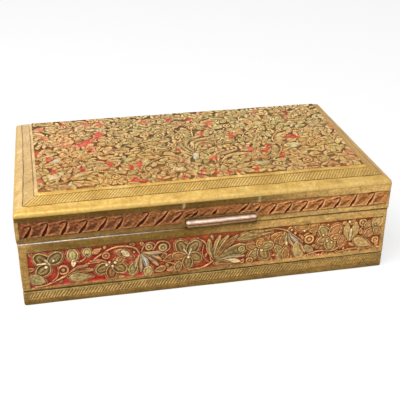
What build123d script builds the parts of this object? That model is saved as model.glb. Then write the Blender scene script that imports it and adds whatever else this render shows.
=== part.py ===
"""Brass table casket with a hipped lid, soldered from plates and lined with thin boards.

Millimetres. X runs along the casket's length, -Y is the front with the thumb pull, +Z is up, and
the origin is the middle of the underside. The lid is closed.
"""

import os
from math import atan, cos, radians, sin, tan

from build123d import *

# Overall sizes
lid_length = 200.0
lid_width = 120.0
lid_overhang = 0.3  # how far each side of the lid stands proud of the base
base_height = 37.5
seam_gap = 0.2  # daylight between the base's rim and the lid
lid_side_height = 14.6
corner_radius = 1.4  # upright corners, rubbed round
foot_radius = 0.8  # bottom edge of the walls

# Brass plates and sheets
wall_sheet = 1.8
bottom_sheet = 1.2
border_sheet = 1.5
panel_sheet = 2.0

# Sunk field of flowers on each wall of the base
field_low = 11.0
field_height = 20.5
field_end_margin = 3.2
field_depth = 0.9

# Raised flowers, fans and leaves in the fields: their main shapes, flat on top, without stems and veins
relief_height = 0.6
petal_length = 8.2
petal_width = 6.6
blade_length = 10.5
blade_width = 3.0
leaf_length = 12.0
leaf_width = 5.2
motif_pitch = 24.0  # of the vine on the back and the ends

# Sunk strip of slanted leaves on each side of the lid
strip_above_edge = 3.2  # from the lid's lower edge up to the strip
strip_height = 8.5
strip_end_margin = 2.0
strip_depth = 0.8

# Hipped border and the raised panel inside it
border_lip = 1.9  # upright edge of the border, below its slope
border_lip_round = 1.0  # where the lip turns into the slope
border_front_run = 13.2  # plan width of the slope at the front and the back
border_side_run = 11.0  # plan width of the slope at the left and the right
border_rise = 4.8  # of the slope alone
border_hollow_start = 0.6  # below the lip's top, where the underside begins to slope
panel_stand = 0.5  # how far the panel's edge stands above the border
panel_corner_radius = 0.5
panel_fit = 0.05  # gap round the panel in its seat
ledge_width = 2.5  # inner flange of the border, under the panel's edge
ledge_sheet = 1.2

# Wood lining
base_board = 3.0
lid_board = 2.5
board_set_down = 0.2  # the boards stop this far short of the brass edge

# Hinge, let into the back edge of both halves
knuckle_count = 7
knuckle_length = 24.0
knuckle_gap = 0.3
knuckle_radius = 1.6
pin_radius = 0.8
pin_clearance = 0.05
solder_line = 0.05  # round a tube in the half that holds it
knuckle_clearance = 0.25  # round a tube in the other half
hinge_set_in = 1.5  # from the base's back face to the hinge axis
bevel_angle = 53.5  # slope of the back edges, which meet when the lid stands open
bearer_thickness = 3.0
bearer_height = 4.0

# Thumb pull
pull_length = 38.0
pull_offset = 5.4  # its middle lies to the right of the casket's middle
pull_height = 4.4
pull_reach = 3.2
pull_flat = 1.0  # straight part of the section, before it rounds over
pull_above_edge = 0.8
pull_end_radius = 0.9
pull_seat_margin = 1.4  # plain brass round the pull, where the strip isn't sunk

# Worked out from the sizes above
base_length = lid_length - 2 * lid_overhang
base_width = lid_width - 2 * lid_overhang
lid_low = base_height + seam_gap
lid_edge = lid_low + lid_side_height
border_foot = lid_edge + border_lip  # height at which the border's slope begins
border_top = border_foot + border_rise
panel_low = border_top + panel_stand - panel_sheet
panel_length = lid_length - 2 * border_side_run
panel_width = lid_width - 2 * border_front_run
hinge_y = base_width / 2 - hinge_set_in
hinge_z = base_height + seam_gap / 2
knuckle_pitch = knuckle_length + knuckle_gap
hinge_length = knuckle_count * knuckle_pitch - knuckle_gap

SIDES = ("front", "back", "left", "right")
MOTIF_SIZES = {
    "petal": (petal_length, petal_width),
    "blade": (blade_length, blade_width),
    "leaf": (leaf_length, leaf_width),
}

# The front field's motifs as the photograph shows them. Each is a shape, where its foot lies along the
# field (-1 to 1) and up it (0 to 1), and the directions in which such shapes spread from the foot, in degrees.
FRONT_MOTIFS = (
    ("petal", -0.88, 0.6, (44, 137, 222)),
    ("leaf", -0.78, 0.17, (-3, 12)),
    ("petal", -0.55, 0.4, (32, 206, 268, 330)),
    ("leaf", -0.52, 0.82, (-30,)),
    ("blade", -0.385, 0.66, (249, 285, 315, 340, 3)),
    ("petal", -0.13, 0.47, (52, 120, 176, 272, 334)),
    ("blade", 0.025, 0.23, (48, 64, 80, 98)),
    ("leaf", 0.07, 0.25, (19, -6)),
    ("leaf", 0.15, 0.8, (6,)),
    ("petal", 0.28, 0.43, (14, 78, 158, 226, 306)),
    ("petal", 0.425, 0.86, (200, 236)),
    ("blade", 0.445, 0.83, (270, 290, 310)),
    ("leaf", 0.5, 0.53, (282,)),
    ("petal", 0.695, 0.55, (52, 128, 200, 280, 350)),
    ("leaf", 0.82, 0.36, (76, 101, -28)),
    ("petal", 0.96, 0.72, (66, 160, 222)),
)


def save(piece, label):
    """Name a finished piece and write it."""
    piece.part.label = label
    export_step(piece.part, f"parts/{label}.step")


def mitre_corners(side, length, width):
    """Outline of one side's share of a rectangle, cut at 45 degrees at its corners."""
    x, y = length / 2, width / 2
    ridge = x - y
    return {
        "front": [(-x, -y), (x, -y), (ridge, 0), (-ridge, 0)],
        "back": [(x, y), (-x, y), (-ridge, 0), (ridge, 0)],
        "left": [(-x, y), (-x, -y), (-ridge, 0)],
        "right": [(x, -y), (x, y), (ridge, 0)],
    }[side]


def outer_plane(side, length, width):
    """Plane on the outer face of one side, seen from outside, with its own Y axis up."""
    x, y = length / 2, width / 2
    return {
        "front": Plane(origin=(0, -y, 0), x_dir=(1, 0, 0), z_dir=(0, -1, 0)),
        "back": Plane(origin=(0, y, 0), x_dir=(-1, 0, 0), z_dir=(0, 1, 0)),
        "left": Plane(origin=(-x, 0, 0), x_dir=(0, -1, 0), z_dir=(-1, 0, 0)),
        "right": Plane(origin=(x, 0, 0), x_dir=(0, 1, 0), z_dir=(1, 0, 0)),
    }[side]


def side_run(side, length, width):
    """Length of one side's outer face."""
    return length if side in ("front", "back") else width


def half_knuckles(half):
    """Numbers of the tubes that one half holds: the two halves take turns, the base has both ends."""
    first = 0 if half == "base" else 1
    return range(first, knuckle_count, 2)


def knuckle_start(index):
    """Where one tube begins along X."""
    return index * knuckle_pitch - hinge_length / 2


def hinge_space(half):
    """What the hinge takes out of one half: grooves for the tubes, and the bevelled back edge."""
    reach = hinge_set_in + 2 * lid_overhang
    drop = reach * tan(radians(bevel_angle))
    with BuildPart() as space:
        for index in range(knuckle_count):
            room = solder_line if index in half_knuckles(half) else knuckle_clearance
            with BuildSketch(Plane.YZ.offset(knuckle_start(index) - knuckle_gap / 2)):
                with Locations((hinge_y, hinge_z)):
                    Circle(knuckle_radius + room)
            extrude(amount=knuckle_pitch)
        with BuildSketch(Plane.YZ):
            with BuildLine():
                Polyline(
                    (hinge_y, hinge_z),
                    (hinge_y + reach, hinge_z - drop),
                    (hinge_y + reach, hinge_z + drop),
                    close=True,
                )
            make_face()
        extrude(amount=lid_length / 2 + lid_overhang, both=True)
    return space.part


def vine_motifs(field_length):
    """Motifs of a field out of sight: a flower, a fan and a spray in turn, above and below a running vine."""
    count = max(2, round(field_length / motif_pitch))
    motifs = []
    for index in range(count):
        place = (2 * index + 1) / count - 1
        up = -1 if index % 2 else 1
        if index % 3 == 0:
            motifs.append(("petal", place, 0.5 - 0.07 * up, (18, 90, 162, 234, 306)))
        elif index % 3 == 1:
            motifs.append(("blade", place, 0.5 + 0.24 * up, [up * turn for turn in (-144, -117, -90, -63, -36)]))
        else:
            motifs.append(("leaf", place - 0.5 / count, 0.5 - 0.2 * up, (20 * up,)))
            motifs.append(("petal", place, 0.5 - 0.05 * up, (55 * up, 120 * up)))
        motifs.append(("petal", place + 0.95 / count, 0.5 + 0.44 * up, (-90 * up,)))
        motifs.append(("leaf", place + 0.7 / count, 0.5 - 0.4 * up, (35 * up,)))
    return motifs


def make_base_wall(side):
    """One wall plate of the base, with its sunk field of flowers."""
    face_plane = outer_plane(side, base_length, base_width)
    field_length = side_run(side, base_length, base_width) - 2 * field_end_margin
    motifs = FRONT_MOTIFS if side == "front" else vine_motifs(field_length)
    with BuildPart() as wall:
        with BuildSketch():
            RectangleRounded(base_length, base_width, corner_radius)
            Rectangle(base_length - 2 * wall_sheet, base_width - 2 * wall_sheet, mode=Mode.SUBTRACT)
            with BuildLine():
                Polyline(*mitre_corners(side, base_length, base_width), close=True)
            make_face(mode=Mode.INTERSECT)
        extrude(amount=base_height)
        outer_face = wall.faces().sort_by(Axis(face_plane.origin, face_plane.z_dir))[-1]
        fillet(outer_face.edges().sort_by(Axis.Z)[0], radius=min(foot_radius, wall_sheet / 2))
        with BuildSketch(face_plane):
            with Locations((0, field_low + field_height / 2)):
                Rectangle(field_length, field_height)
        extrude(amount=-field_depth, mode=Mode.SUBTRACT)
        with BuildSketch(face_plane.offset(-field_depth)):
            for shape, along, up, turns in motifs:
                length, width = MOTIF_SIZES[shape]
                for turn in turns:
                    x = along * field_length / 2 + cos(radians(turn)) * length / 2
                    y = field_low + up * field_height + sin(radians(turn)) * length / 2
                    with Locations((x, y)):
                        Ellipse(length / 2, width / 2, rotation=turn)
            with Locations((0, field_low + field_height / 2)):
                Rectangle(field_length, field_height, mode=Mode.INTERSECT)
        extrude(amount=relief_height)
        add(hinge_space("base"), mode=Mode.SUBTRACT)
    save(wall, f"base_{side}_plate")


def make_base_bottom():
    """Sheet soldered between the walls, flush with their lower edges."""
    with BuildPart() as bottom:
        with BuildSketch():
            Rectangle(base_length - 2 * wall_sheet, base_width - 2 * wall_sheet)
        extrude(amount=bottom_sheet)
    save(bottom, "base_bottom_plate")


def make_lid_side(side):
    """One upright plate of the lid, with its sunk strip and, at the front, the pull's plain seat."""
    strip_length = side_run(side, lid_length, lid_width) - 2 * strip_end_margin
    seat_height = pull_above_edge + pull_height + pull_seat_margin
    with BuildPart() as plate:
        with BuildSketch(Plane.XY.offset(lid_low)):
            RectangleRounded(lid_length, lid_width, corner_radius)
            Rectangle(lid_length - 2 * wall_sheet, lid_width - 2 * wall_sheet, mode=Mode.SUBTRACT)
            with BuildLine():
                Polyline(*mitre_corners(side, lid_length, lid_width), close=True)
            make_face(mode=Mode.INTERSECT)
        extrude(amount=lid_side_height)
        with BuildSketch(outer_plane(side, lid_length, lid_width)):
            with Locations((0, lid_low + strip_above_edge + strip_height / 2)):
                Rectangle(strip_length, strip_height)
            if side == "front":
                with Locations((pull_offset, lid_low + seat_height / 2)):
                    Rectangle(pull_length + 2 * pull_seat_margin, seat_height, mode=Mode.SUBTRACT)
        extrude(amount=-strip_depth, mode=Mode.SUBTRACT)
        add(hinge_space("lid"), mode=Mode.SUBTRACT)
    save(plate, f"lid_{side}_plate")


def make_border_frame():
    """Hipped border of the lid: an upright lip, four slopes in one frame, and a ledge under the panel."""
    front_angle = atan(border_rise / border_front_run)
    side_angle = atan(border_rise / border_side_run)
    ledge_low = panel_low - ledge_sheet
    hollow_foot = border_foot - border_hollow_start

    def underside(height):
        """Outline of the hollow under the slopes, one sheet's thickness inside them."""
        climb = height - border_foot
        inset_x = border_sheet / sin(side_angle) + climb / tan(side_angle)
        inset_y = border_sheet / sin(front_angle) + climb / tan(front_angle)
        return lid_length - 2 * inset_x, lid_width - 2 * inset_y

    with BuildPart() as frame:
        with BuildSketch(Plane.XY.offset(lid_edge)):
            RectangleRounded(lid_length, lid_width, corner_radius)
        extrude(amount=border_lip)
        with BuildSketch(Plane.XY.offset(border_foot)):
            RectangleRounded(lid_length, lid_width, corner_radius)
        with BuildSketch(Plane.XY.offset(border_top)):
            RectangleRounded(panel_length, panel_width, panel_corner_radius)
        loft(ruled=True)
        lip_edges = frame.edges().filter_by_position(Axis.Z, border_foot - 0.01, border_foot + 0.01)
        fillet(lip_edges, radius=border_lip_round)
        with BuildSketch(Plane.XY.offset(lid_edge)):
            Rectangle(*underside(hollow_foot))
        extrude(amount=hollow_foot - lid_edge, mode=Mode.SUBTRACT)
        with BuildSketch(Plane.XY.offset(hollow_foot)):
            Rectangle(*underside(hollow_foot))
        with BuildSketch(Plane.XY.offset(ledge_low)):
            Rectangle(*underside(ledge_low))
        loft(ruled=True, mode=Mode.SUBTRACT)
        with BuildSketch(Plane.XY.offset(ledge_low)):
            Rectangle(panel_length - 2 * ledge_width, panel_width - 2 * ledge_width)
        extrude(amount=border_rise, mode=Mode.SUBTRACT)
        with BuildSketch(Plane.XY.offset(panel_low)):
            RectangleRounded(panel_length, panel_width, panel_corner_radius)
        extrude(amount=border_rise, mode=Mode.SUBTRACT)
    save(frame, "lid_border_frame")


def make_top_panel():
    """Thick plate with the large field of flowers, let into the border."""
    with BuildPart() as panel:
        with BuildSketch(Plane.XY.offset(panel_low)):
            length, width = panel_length - 2 * panel_fit, panel_width - 2 * panel_fit
            RectangleRounded(length, width, panel_corner_radius)
        extrude(amount=panel_sheet)
    save(panel, "lid_top_panel")


def make_pull():
    """Rounded lip that the thumb lifts."""
    seat_y = -lid_width / 2
    low = lid_low + pull_above_edge
    with BuildPart() as pull:
        with BuildSketch(Plane.YZ.offset(pull_offset - pull_length / 2)):
            with BuildLine():
                flat = (seat_y - pull_flat, low)
                top = (seat_y - pull_flat, low + pull_height)
                Polyline(top, (seat_y, low + pull_height), (seat_y, low), flat)
                ThreePointArc(flat, (seat_y - pull_reach, low + pull_height / 2), top)
            make_face()
        extrude(amount=pull_length)
        end_faces = pull.faces().filter_by(Axis.X)
        fillet(end_faces.edges().filter_by(GeomType.CIRCLE), radius=pull_end_radius)
    save(pull, "thumb_pull")


def make_board(label, corner, size):
    """A thin lining board, from its low corner and its size."""
    with BuildPart() as board:
        with BuildSketch(Plane.XY.offset(corner[2])):
            with Locations((corner[0], corner[1])):
                Rectangle(size[0], size[1], align=(Align.MIN, Align.MIN))
        extrude(amount=size[2])
    save(board, label)


def make_base_lining():
    """Floor board, and four boards that stand on it inside the walls."""
    half_x = base_length / 2 - wall_sheet
    half_y = base_width / 2 - wall_sheet
    floor = bottom_sheet + base_board
    height = base_height - board_set_down - floor
    back_height = base_height - bearer_height - floor
    run_x, run_y = 2 * half_x, 2 * (half_y - base_board)
    make_board("base_lining_floor", (-half_x, -half_y, bottom_sheet), (run_x, 2 * half_y, base_board))
    make_board("base_lining_front", (-half_x, -half_y, floor), (run_x, base_board, height))
    make_board("base_lining_back", (-half_x, half_y - base_board, floor), (run_x, base_board, back_height))
    for name, x in (("left", -half_x), ("right", half_x - base_board)):
        make_board(f"base_lining_{name}", (x, base_board - half_y, floor), (base_board, run_y, height))


def make_lid_lining():
    """Top board under the border frame, and four boards round it inside the lid's sides."""
    half_x = lid_length / 2 - wall_sheet
    half_y = lid_width / 2 - wall_sheet
    roof = lid_edge - lid_board
    low = lid_low + board_set_down
    back_low = lid_low + bearer_height
    run_x, run_y = 2 * half_x, 2 * (half_y - lid_board)
    back_corner = (-half_x, half_y - lid_board, back_low)
    make_board("lid_lining_top", (-half_x, -half_y, roof), (run_x, 2 * half_y, lid_board))
    make_board("lid_lining_front", (-half_x, -half_y, low), (run_x, lid_board, roof - low))
    make_board("lid_lining_back", back_corner, (run_x, lid_board, roof - back_low))
    for name, x in (("left", -half_x), ("right", half_x - lid_board)):
        make_board(f"lid_lining_{name}", (x, lid_board - half_y, low), (lid_board, run_y, roof - low))


def make_bearer(half):
    """Brass bar along the inside of the back wall's edge, grooved for the hinge tubes."""
    if half == "base":
        plate_y = base_width / 2 - wall_sheet
        run = base_length - 2 * (wall_sheet + base_board)
        low = base_height - bearer_height
    else:
        plate_y = lid_width / 2 - wall_sheet
        run = lid_length - 2 * (wall_sheet + lid_board)
        low = lid_low
    with BuildPart() as bearer:
        with BuildSketch(Plane.XY.offset(low)):
            with Locations((0, plate_y)):
                Rectangle(run, bearer_thickness, align=(Align.CENTER, Align.MAX))
        extrude(amount=bearer_height)
        add(hinge_space(half), mode=Mode.SUBTRACT)
    save(bearer, f"{half}_hinge_bearer")


def make_knuckles(half):
    """The hinge tubes that one half holds."""
    with BuildPart() as tubes:
        for index in half_knuckles(half):
            with BuildSketch(Plane.YZ.offset(knuckle_start(index))):
                with Locations((hinge_y, hinge_z)):
                    Circle(knuckle_radius)
                    Circle(pin_radius + pin_clearance, mode=Mode.SUBTRACT)
            extrude(amount=knuckle_length)
    save(tubes, f"{half}_hinge_knuckles")


def make_pin():
    """Wire through all the tubes, cut flush at both ends."""
    with BuildPart() as pin:
        with BuildSketch(Plane.YZ.offset(-hinge_length / 2)):
            with Locations((hinge_y, hinge_z)):
                Circle(pin_radius)
        extrude(amount=hinge_length)
    save(pin, "hinge_pin")


def main():
    os.makedirs("parts", exist_ok=True)
    for side in SIDES:
        make_base_wall(side)
        make_lid_side(side)
    make_base_bottom()
    make_border_frame()
    make_top_panel()
    make_pull()
    make_base_lining()
    make_lid_lining()
    for half in ("base", "lid"):
        make_bearer(half)
        make_knuckles(half)
    make_pin()


if __name__ == "__main__":
    main()
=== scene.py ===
"""Looks of the brass casket: chased and lacquered plates, hipped border, raised panel, pull, lining."""

from math import atan2, cos, pi, radians, sin, tan

import bmesh
import bpy
import numpy as np
from mathutils import Matrix, Vector


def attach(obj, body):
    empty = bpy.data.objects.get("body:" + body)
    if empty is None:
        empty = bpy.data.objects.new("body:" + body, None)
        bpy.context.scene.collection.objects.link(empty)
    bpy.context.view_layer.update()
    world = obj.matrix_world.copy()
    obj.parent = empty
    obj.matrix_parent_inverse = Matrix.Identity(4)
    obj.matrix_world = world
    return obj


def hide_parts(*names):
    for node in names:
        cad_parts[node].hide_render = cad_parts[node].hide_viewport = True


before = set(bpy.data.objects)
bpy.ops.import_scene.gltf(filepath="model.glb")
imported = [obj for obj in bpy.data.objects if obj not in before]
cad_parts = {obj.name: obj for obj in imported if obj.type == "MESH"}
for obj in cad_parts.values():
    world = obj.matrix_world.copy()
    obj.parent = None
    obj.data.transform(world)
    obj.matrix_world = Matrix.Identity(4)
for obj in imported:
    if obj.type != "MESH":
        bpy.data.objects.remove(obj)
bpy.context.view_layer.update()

MM = 0.001  # the patterns are laid out in millimetres

# Sizes of the casket as its frame gives them, in millimetres
BASE = {"length": 199.4, "width": 119.4, "low": 0.0, "high": 37.5}
LID = {"length": 200.0, "width": 120.0, "low": 37.7, "high": 52.3}
HALVES = {"base": BASE, "lid": LID}
WALL = 1.8
CORNER = 1.4  # rounding of the upright corners
FOOT = 0.8  # rounding along the base's lower edge
WORN_EDGE = 0.35  # rounding of the edges where base and lid meet
BORDER_LIP, LIP_ROUND = 1.9, 2.0  # the border's upright edge, and the rounding over it
BORDER_RISE = 4.8
BORDER_FRONT_RUN, BORDER_SIDE_RUN = 13.2, 11.0
PANEL_X, PANEL_Y = 88.95, 46.75  # half the panel's length and half its width
PANEL_TOP, PANEL_LOW = 59.5, 57.5
HINGE_Y, HINGE_Z = 58.2, 37.6
HINGE_PITCH, HINGE_HALF = 24.3, 85.05  # from tube to tube, and from the middle to the last tube's end
TUBE_ROOM, TUBE_CLEAR = 1.65, 1.85  # radius of a tube's groove in its own half, and in the other one
BEVEL = 1.351  # rise of the back edges' slope for each millimetre outwards
BEND = {"base": 34.0, "lid": 40.8}  # from here on, the back plates' rows are drawn to the bevel
FIELD_END, FIELD_LOW, FIELD_TALL = 3.2, 11.0, 20.5
HATCH_PITCH = 1.65
STRIP_PITCH = 9.4  # from leaf to leaf along the lid's strip
PULL_X, PULL_LENGTH, PULL_LOW = 5.4, 38.0, 38.5
STEM_SHARE = 0.8  # stalks are slimmer by this than the widths read off the photograph

SIDES = {
    "front": ((1, 0), (0, -1)),
    "back": ((-1, 0), (0, 1)),
    "left": ((0, -1), (-1, 0)),
    "right": ((0, 1), (1, 0)),
}


def colour(code):
    """An sRGB hex colour as linear red, green and blue."""
    parts = [int(code[i : i + 2], 16) / 255 for i in (1, 3, 5)]
    return [p / 12.92 if p <= 0.04045 else ((p + 0.055) / 1.055) ** 2.4 for p in parts]


def rgba(code, alpha=1.0):
    """The same with an alpha, as a shader's colour socket takes it."""
    return (*colour(code), alpha)


def mixed(first, second, share):
    """A linear colour between two hex colours."""
    return np.array(colour(first)) * (1 - share) + np.array(colour(second)) * share


def smooth(value):
    """0 below 0, 1 above 1, and an easy curve between."""
    value = np.clip(value, 0, 1)
    return value * value * (3 - 2 * value)


def bell(distance, width):
    """1 at the distance 0, and fading to both sides of it."""
    return np.exp(-(distance / width) ** 2)


def wavy(places, size, seed, length=40.0):
    """The wander of a line drawn by hand: a few slow waves, of the given size in all."""
    rng = np.random.default_rng(seed)
    total = np.zeros_like(places, dtype=float)
    for share, scale in ((0.5, 1.0), (0.3, 0.45), (0.2, 0.2)):
        total += share * np.sin(places * 2 * pi / (length * scale) + rng.uniform(0, 2 * pi))
    return total * size


def aims(turn):
    """Steps ahead and to the left for a motif that is turned by so many degrees."""
    a = radians(turn)
    return np.array([cos(a), sin(a)]), np.array([-sin(a), cos(a)])


def spaced(start, *runs):
    """Places from start on, through runs given as (end, step)."""
    places = [start]
    for end, step in runs:
        count = max(1, round((end - places[-1]) / step))
        places.extend(np.linspace(places[-1], end, count + 1)[1:])
    return np.array(places)


# Lacquer on a motif: the raised rim, the hollow, and how much of the metal it covers
TONES = {
    "olive": ("#B49A6A", "#484422", 0.92),
    "grey": ("#AE9A74", "#505036", 0.92),
    "green": ("#B6AC7A", "#586440", 0.94),
    "cream": ("#CCBC90", "#8E8A5E", 0.95),
    "white": ("#F6ECD2", "#DCD0AA", 1.0),
    "teal": ("#B4AE8A", "#4E5E48", 0.95),
    "blue": ("#C0CCC8", "#4C82A4", 0.97),
    "tan": ("#BE8E60", "#7A4C2A", 0.88),
    "pink": ("#C48C70", "#86503A", 0.9),
    "ochre": ("#C4944C", "#7C541E", 0.85),
    "brown": ("#9C6A3C", "#54301A", 0.9),
    "rust": ("#A8624A", "#6C2C1E", 0.92),
    "clay": ("#A8704E", "#7E3E30", 0.92),
}


class Sheet:
    """A brass sheet laid flat: its relief's height, the lacquer on it, and what the motifs take up."""

    def __init__(self, u, v, outline="#34200A", worn="#B88C55", worn_share=(0.0, 0.0), groove=1.0):
        """A plain sheet with its columns at u and its rows at v.

        outline is the tint of the cut lines and groove their width's share, worn the tint of rubbed
        motifs and worn_share how rubbed they are at the left and at the right."""
        self.u, self.v = u, v
        self.groove = groove
        self.across, self.up = np.meshgrid(u, v)
        self.share = (self.across - u[0]) / (u[-1] - u[0])
        self.height = np.zeros(self.across.shape)
        self.paint = np.zeros((*self.across.shape, 4))
        self.taken = np.zeros(self.across.shape)
        self.outline, self.worn = np.array(colour(outline)), np.array(colour(worn))
        self.worn_share = worn_share[0] * (1 - self.share) + worn_share[1] * self.share

    def coat(self, where, share, tint):
        """Lay lacquer over what is there: share is how much of it the new coat hides."""
        share = share[..., None]
        under = self.paint[where]
        rest = under[..., 3:] * (1 - share)
        cover = share + rest
        blend = (tint * share + under[..., :3] * rest) / np.maximum(cover, 1e-6)
        self.paint[where] = np.concatenate([blend, cover], -1)

    def glaze(self, share, left, right=None):
        """A thin coat over the whole sheet where share says, from one colour at its left to another."""
        self.coat(..., share, mixed(left, right or left, self.share[..., None]))

    def varnish(self, left, right):
        """A clear coat that takes its own share out of every colour, from the sheet's left to its right."""
        self.paint[..., :3] *= mixed(left, right, self.share[..., None])

    def window(self, low, high):
        """The rows and columns that a rectangle takes in."""
        columns = slice(*np.searchsorted(self.u, [low[0], high[0]]))
        rows = slice(*np.searchsorted(self.v, [low[1], high[1]]))
        return rows, columns

    def crowded(self, x, y, reach, limit):
        """Whether motifs take up more than a share of the square round a place, or it is off the sheet."""
        taken = self.taken[self.window((x - reach, y - reach), (x + reach, y + reach))]
        return taken.size == 0 or taken.mean() > limit

    def colour_ground(self, low, high, left, right, cover=1.0):
        """Paint a rectangle of ground, from one colour at its left to another at its right."""
        where = self.window(low, high)
        share = ((self.across[where] - low[0]) / (high[0] - low[0]))[..., None]
        self.paint[where][..., :3] = mixed(left, right, share)
        self.paint[where][..., 3] = cover

    def stain(self, x, y, radius, code, stretch, turn, cover=1.0):
        """A patch of another lacquer with an uneven edge, stretched along a turned axis."""
        reach = radius * max(1.0, stretch) * 1.4
        where = self.window((x - reach, y - reach), (x + reach, y + reach))
        dx, dy = self.across[where] - x, self.up[where] - y
        along = (dx * cos(radians(turn)) + dy * sin(radians(turn))) / stretch
        off = -dx * sin(radians(turn)) + dy * cos(radians(turn))
        bearing = np.arctan2(off, along)
        edge = radius * (1 + 0.18 * np.sin(3 * bearing + x) + 0.1 * np.sin(5 * bearing + y))
        share = smooth((edge - np.hypot(along, off)) / (0.35 * radius))
        self.coat(where, share * cover, np.array(colour(code)))


def smooth_path(points, steps=8):
    """A curve through the given points, as closely spaced ones."""
    p = np.array(points, dtype=float)
    if len(p) == 2:
        return np.linspace(p[0], p[1], steps)
    ends = np.vstack([2 * p[0] - p[1], p, 2 * p[-1] - p[-2]])
    path = []
    for k in range(1, len(ends) - 2):
        a, b, c, d = ends[k - 1 : k + 3]
        for t in np.linspace(0, 1, steps, endpoint=False):
            path.append(0.5 * (2 * b + (c - a) * t + (2 * a - 5 * b + 4 * c - d) * t * t
                               + (3 * b - a - 3 * c + d) * t ** 3))
    path.append(p[-1])
    return np.array(path)


def stroke(sheet, points, half_widths, margin=1.6):
    """Round a curve: the window, the depth inside its edge, and the place along it and across it.

    Along runs from 0 to 1, and across from -1 to 1."""
    path = smooth_path(points) if len(points) > 1 else np.array([points[0], points[0]], float)
    reach = max(half_widths) + margin
    where = sheet.window(path.min(0) - reach, path.max(0) + reach)
    u, v = sheet.across[where][..., None], sheet.up[where][..., None]
    start, run = path[:-1], np.diff(path, axis=0)
    square = np.maximum((run ** 2).sum(1), 1e-9)
    wu, wv = u - start[:, 0], v - start[:, 1]
    share = np.clip((wu * run[:, 0] + wv * run[:, 1]) / square, 0, 1)
    away = np.hypot(wu - share * run[:, 0], wv - share * run[:, 1])
    along = (np.arange(len(run)) + share) / len(run)
    half = np.interp(along, np.linspace(0, 1, len(half_widths)), half_widths)
    best = (half - away).argmax(-1)[..., None]
    pick = lambda field: np.take_along_axis(field, best, -1)[..., 0]
    side = np.sign(run[:, 0] * wv - run[:, 1] * wu)
    inside = pick(half - away)
    return where, inside, pick(along), pick(side * away / np.maximum(half, 1e-6))


def lay(sheet, where, inside, height, tint, cover, groove=0.55, under=False, cut=0.85):
    """Lay a shape on the sheet, and cut the chaser's line round it."""
    groove = groove * sheet.groove
    free = 1 - sheet.taken[where] if under else 1.0
    share = smooth(inside / 0.3 + 0.5) * free
    line = smooth(1 + inside / groove) * (1 - smooth(inside / 0.3 + 0.5)) * free * cut
    old = sheet.height[where]
    sheet.height[where] = (old * (1 - line)) * (1 - share) + height * share
    sheet.coat(where, line, sheet.outline)
    worn = sheet.worn_share[where][..., None]
    sheet.coat(where, share * cover, tint * (1 - worn) + sheet.worn * worn)
    sheet.taken[where] = np.maximum(sheet.taken[where], smooth((inside + groove) / groove))


def blend_tints(tone, share):
    """The lacquer from rim (0) to hollow (1)."""
    rim, hollow, cover = TONES[tone]
    return mixed(rim, hollow, share[..., None]), cover


def surround(sheet, where, inside):
    """A low ridge that follows a motif's outline on the ground, outside its cut line."""
    wide = 0.6
    tone = mixed("#94543C", "#A87850", sheet.share[where][..., None])
    depth = inside + 0.3 + wide
    rise = 0.3 * np.sqrt(np.clip(1 - (2 * depth / wide - 1) ** 2, 0, 1)) + 0.05
    lay(sheet, where, depth, rise, tone, 0.85, groove=0.4, under=True, cut=0.45)


def stem(sheet, points, start, end, tone, rise=0.62):
    """A half-round stalk, slimmer towards its tip."""
    start, end = STEM_SHARE * start, STEM_SHARE * end
    where, inside, _, across = stroke(sheet, points, [start, (start + end) / 2 + 0.05, end])
    height = rise * np.sqrt(np.clip(1 - across ** 2, 0, 1))
    tint, cover = blend_tints(tone, smooth(np.abs(across) * 1.3 - 0.3) * 0.75)
    lay(sheet, where, inside, height, tint, cover)


def petal(sheet, x, y, turn, length, width, tone, rise=0.75, rim=0.3, bend=0.0, under=False, veins=9):
    """A cupped petal from its foot: a light rim, a darker hollow with chased lines, a raised middle."""
    ahead, aside = aims(turn)
    foot = np.array([x, y])
    half = width / 2
    reach = length - half * 0.8
    points = [foot, foot + ahead * reach * 0.5 + aside * bend * 0.5 * length,
              foot + ahead * reach + aside * bend * length * 0.2]
    widths = [0.18 * half, 0.72 * half, 0.98 * half, half * 0.8]
    where, inside, along, across = stroke(sheet, points, widths)
    if width > 4.5 and not under:
        surround(sheet, where, inside)
    hollow = smooth((inside - rim) / 0.35)
    dome = smooth((inside - rim - 0.5) / (half * 0.6 + 0.1))
    height = rise * smooth(inside / 0.3 + 0.3) * (1 - 0.45 * hollow + 0.32 * dome)
    lines = 0.5 + 0.5 * np.sin(across * veins + 2.0 * along)
    height = height - 0.1 * lines * hollow
    tint, cover = blend_tints(tone, hollow * (0.74 + 0.26 * lines))
    speckle = np.sin(sheet.across[where] * 7.3 + 2 * sheet.up[where]) * np.sin(sheet.up[where] * 6.1)
    shade = 1 + 0.4 * dome * (1 - lines) - 0.2 * hollow * lines + 0.22 * hollow * speckle
    tint = tint * shade[..., None]
    lay(sheet, where, inside, height, tint, cover, under=under)


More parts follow.
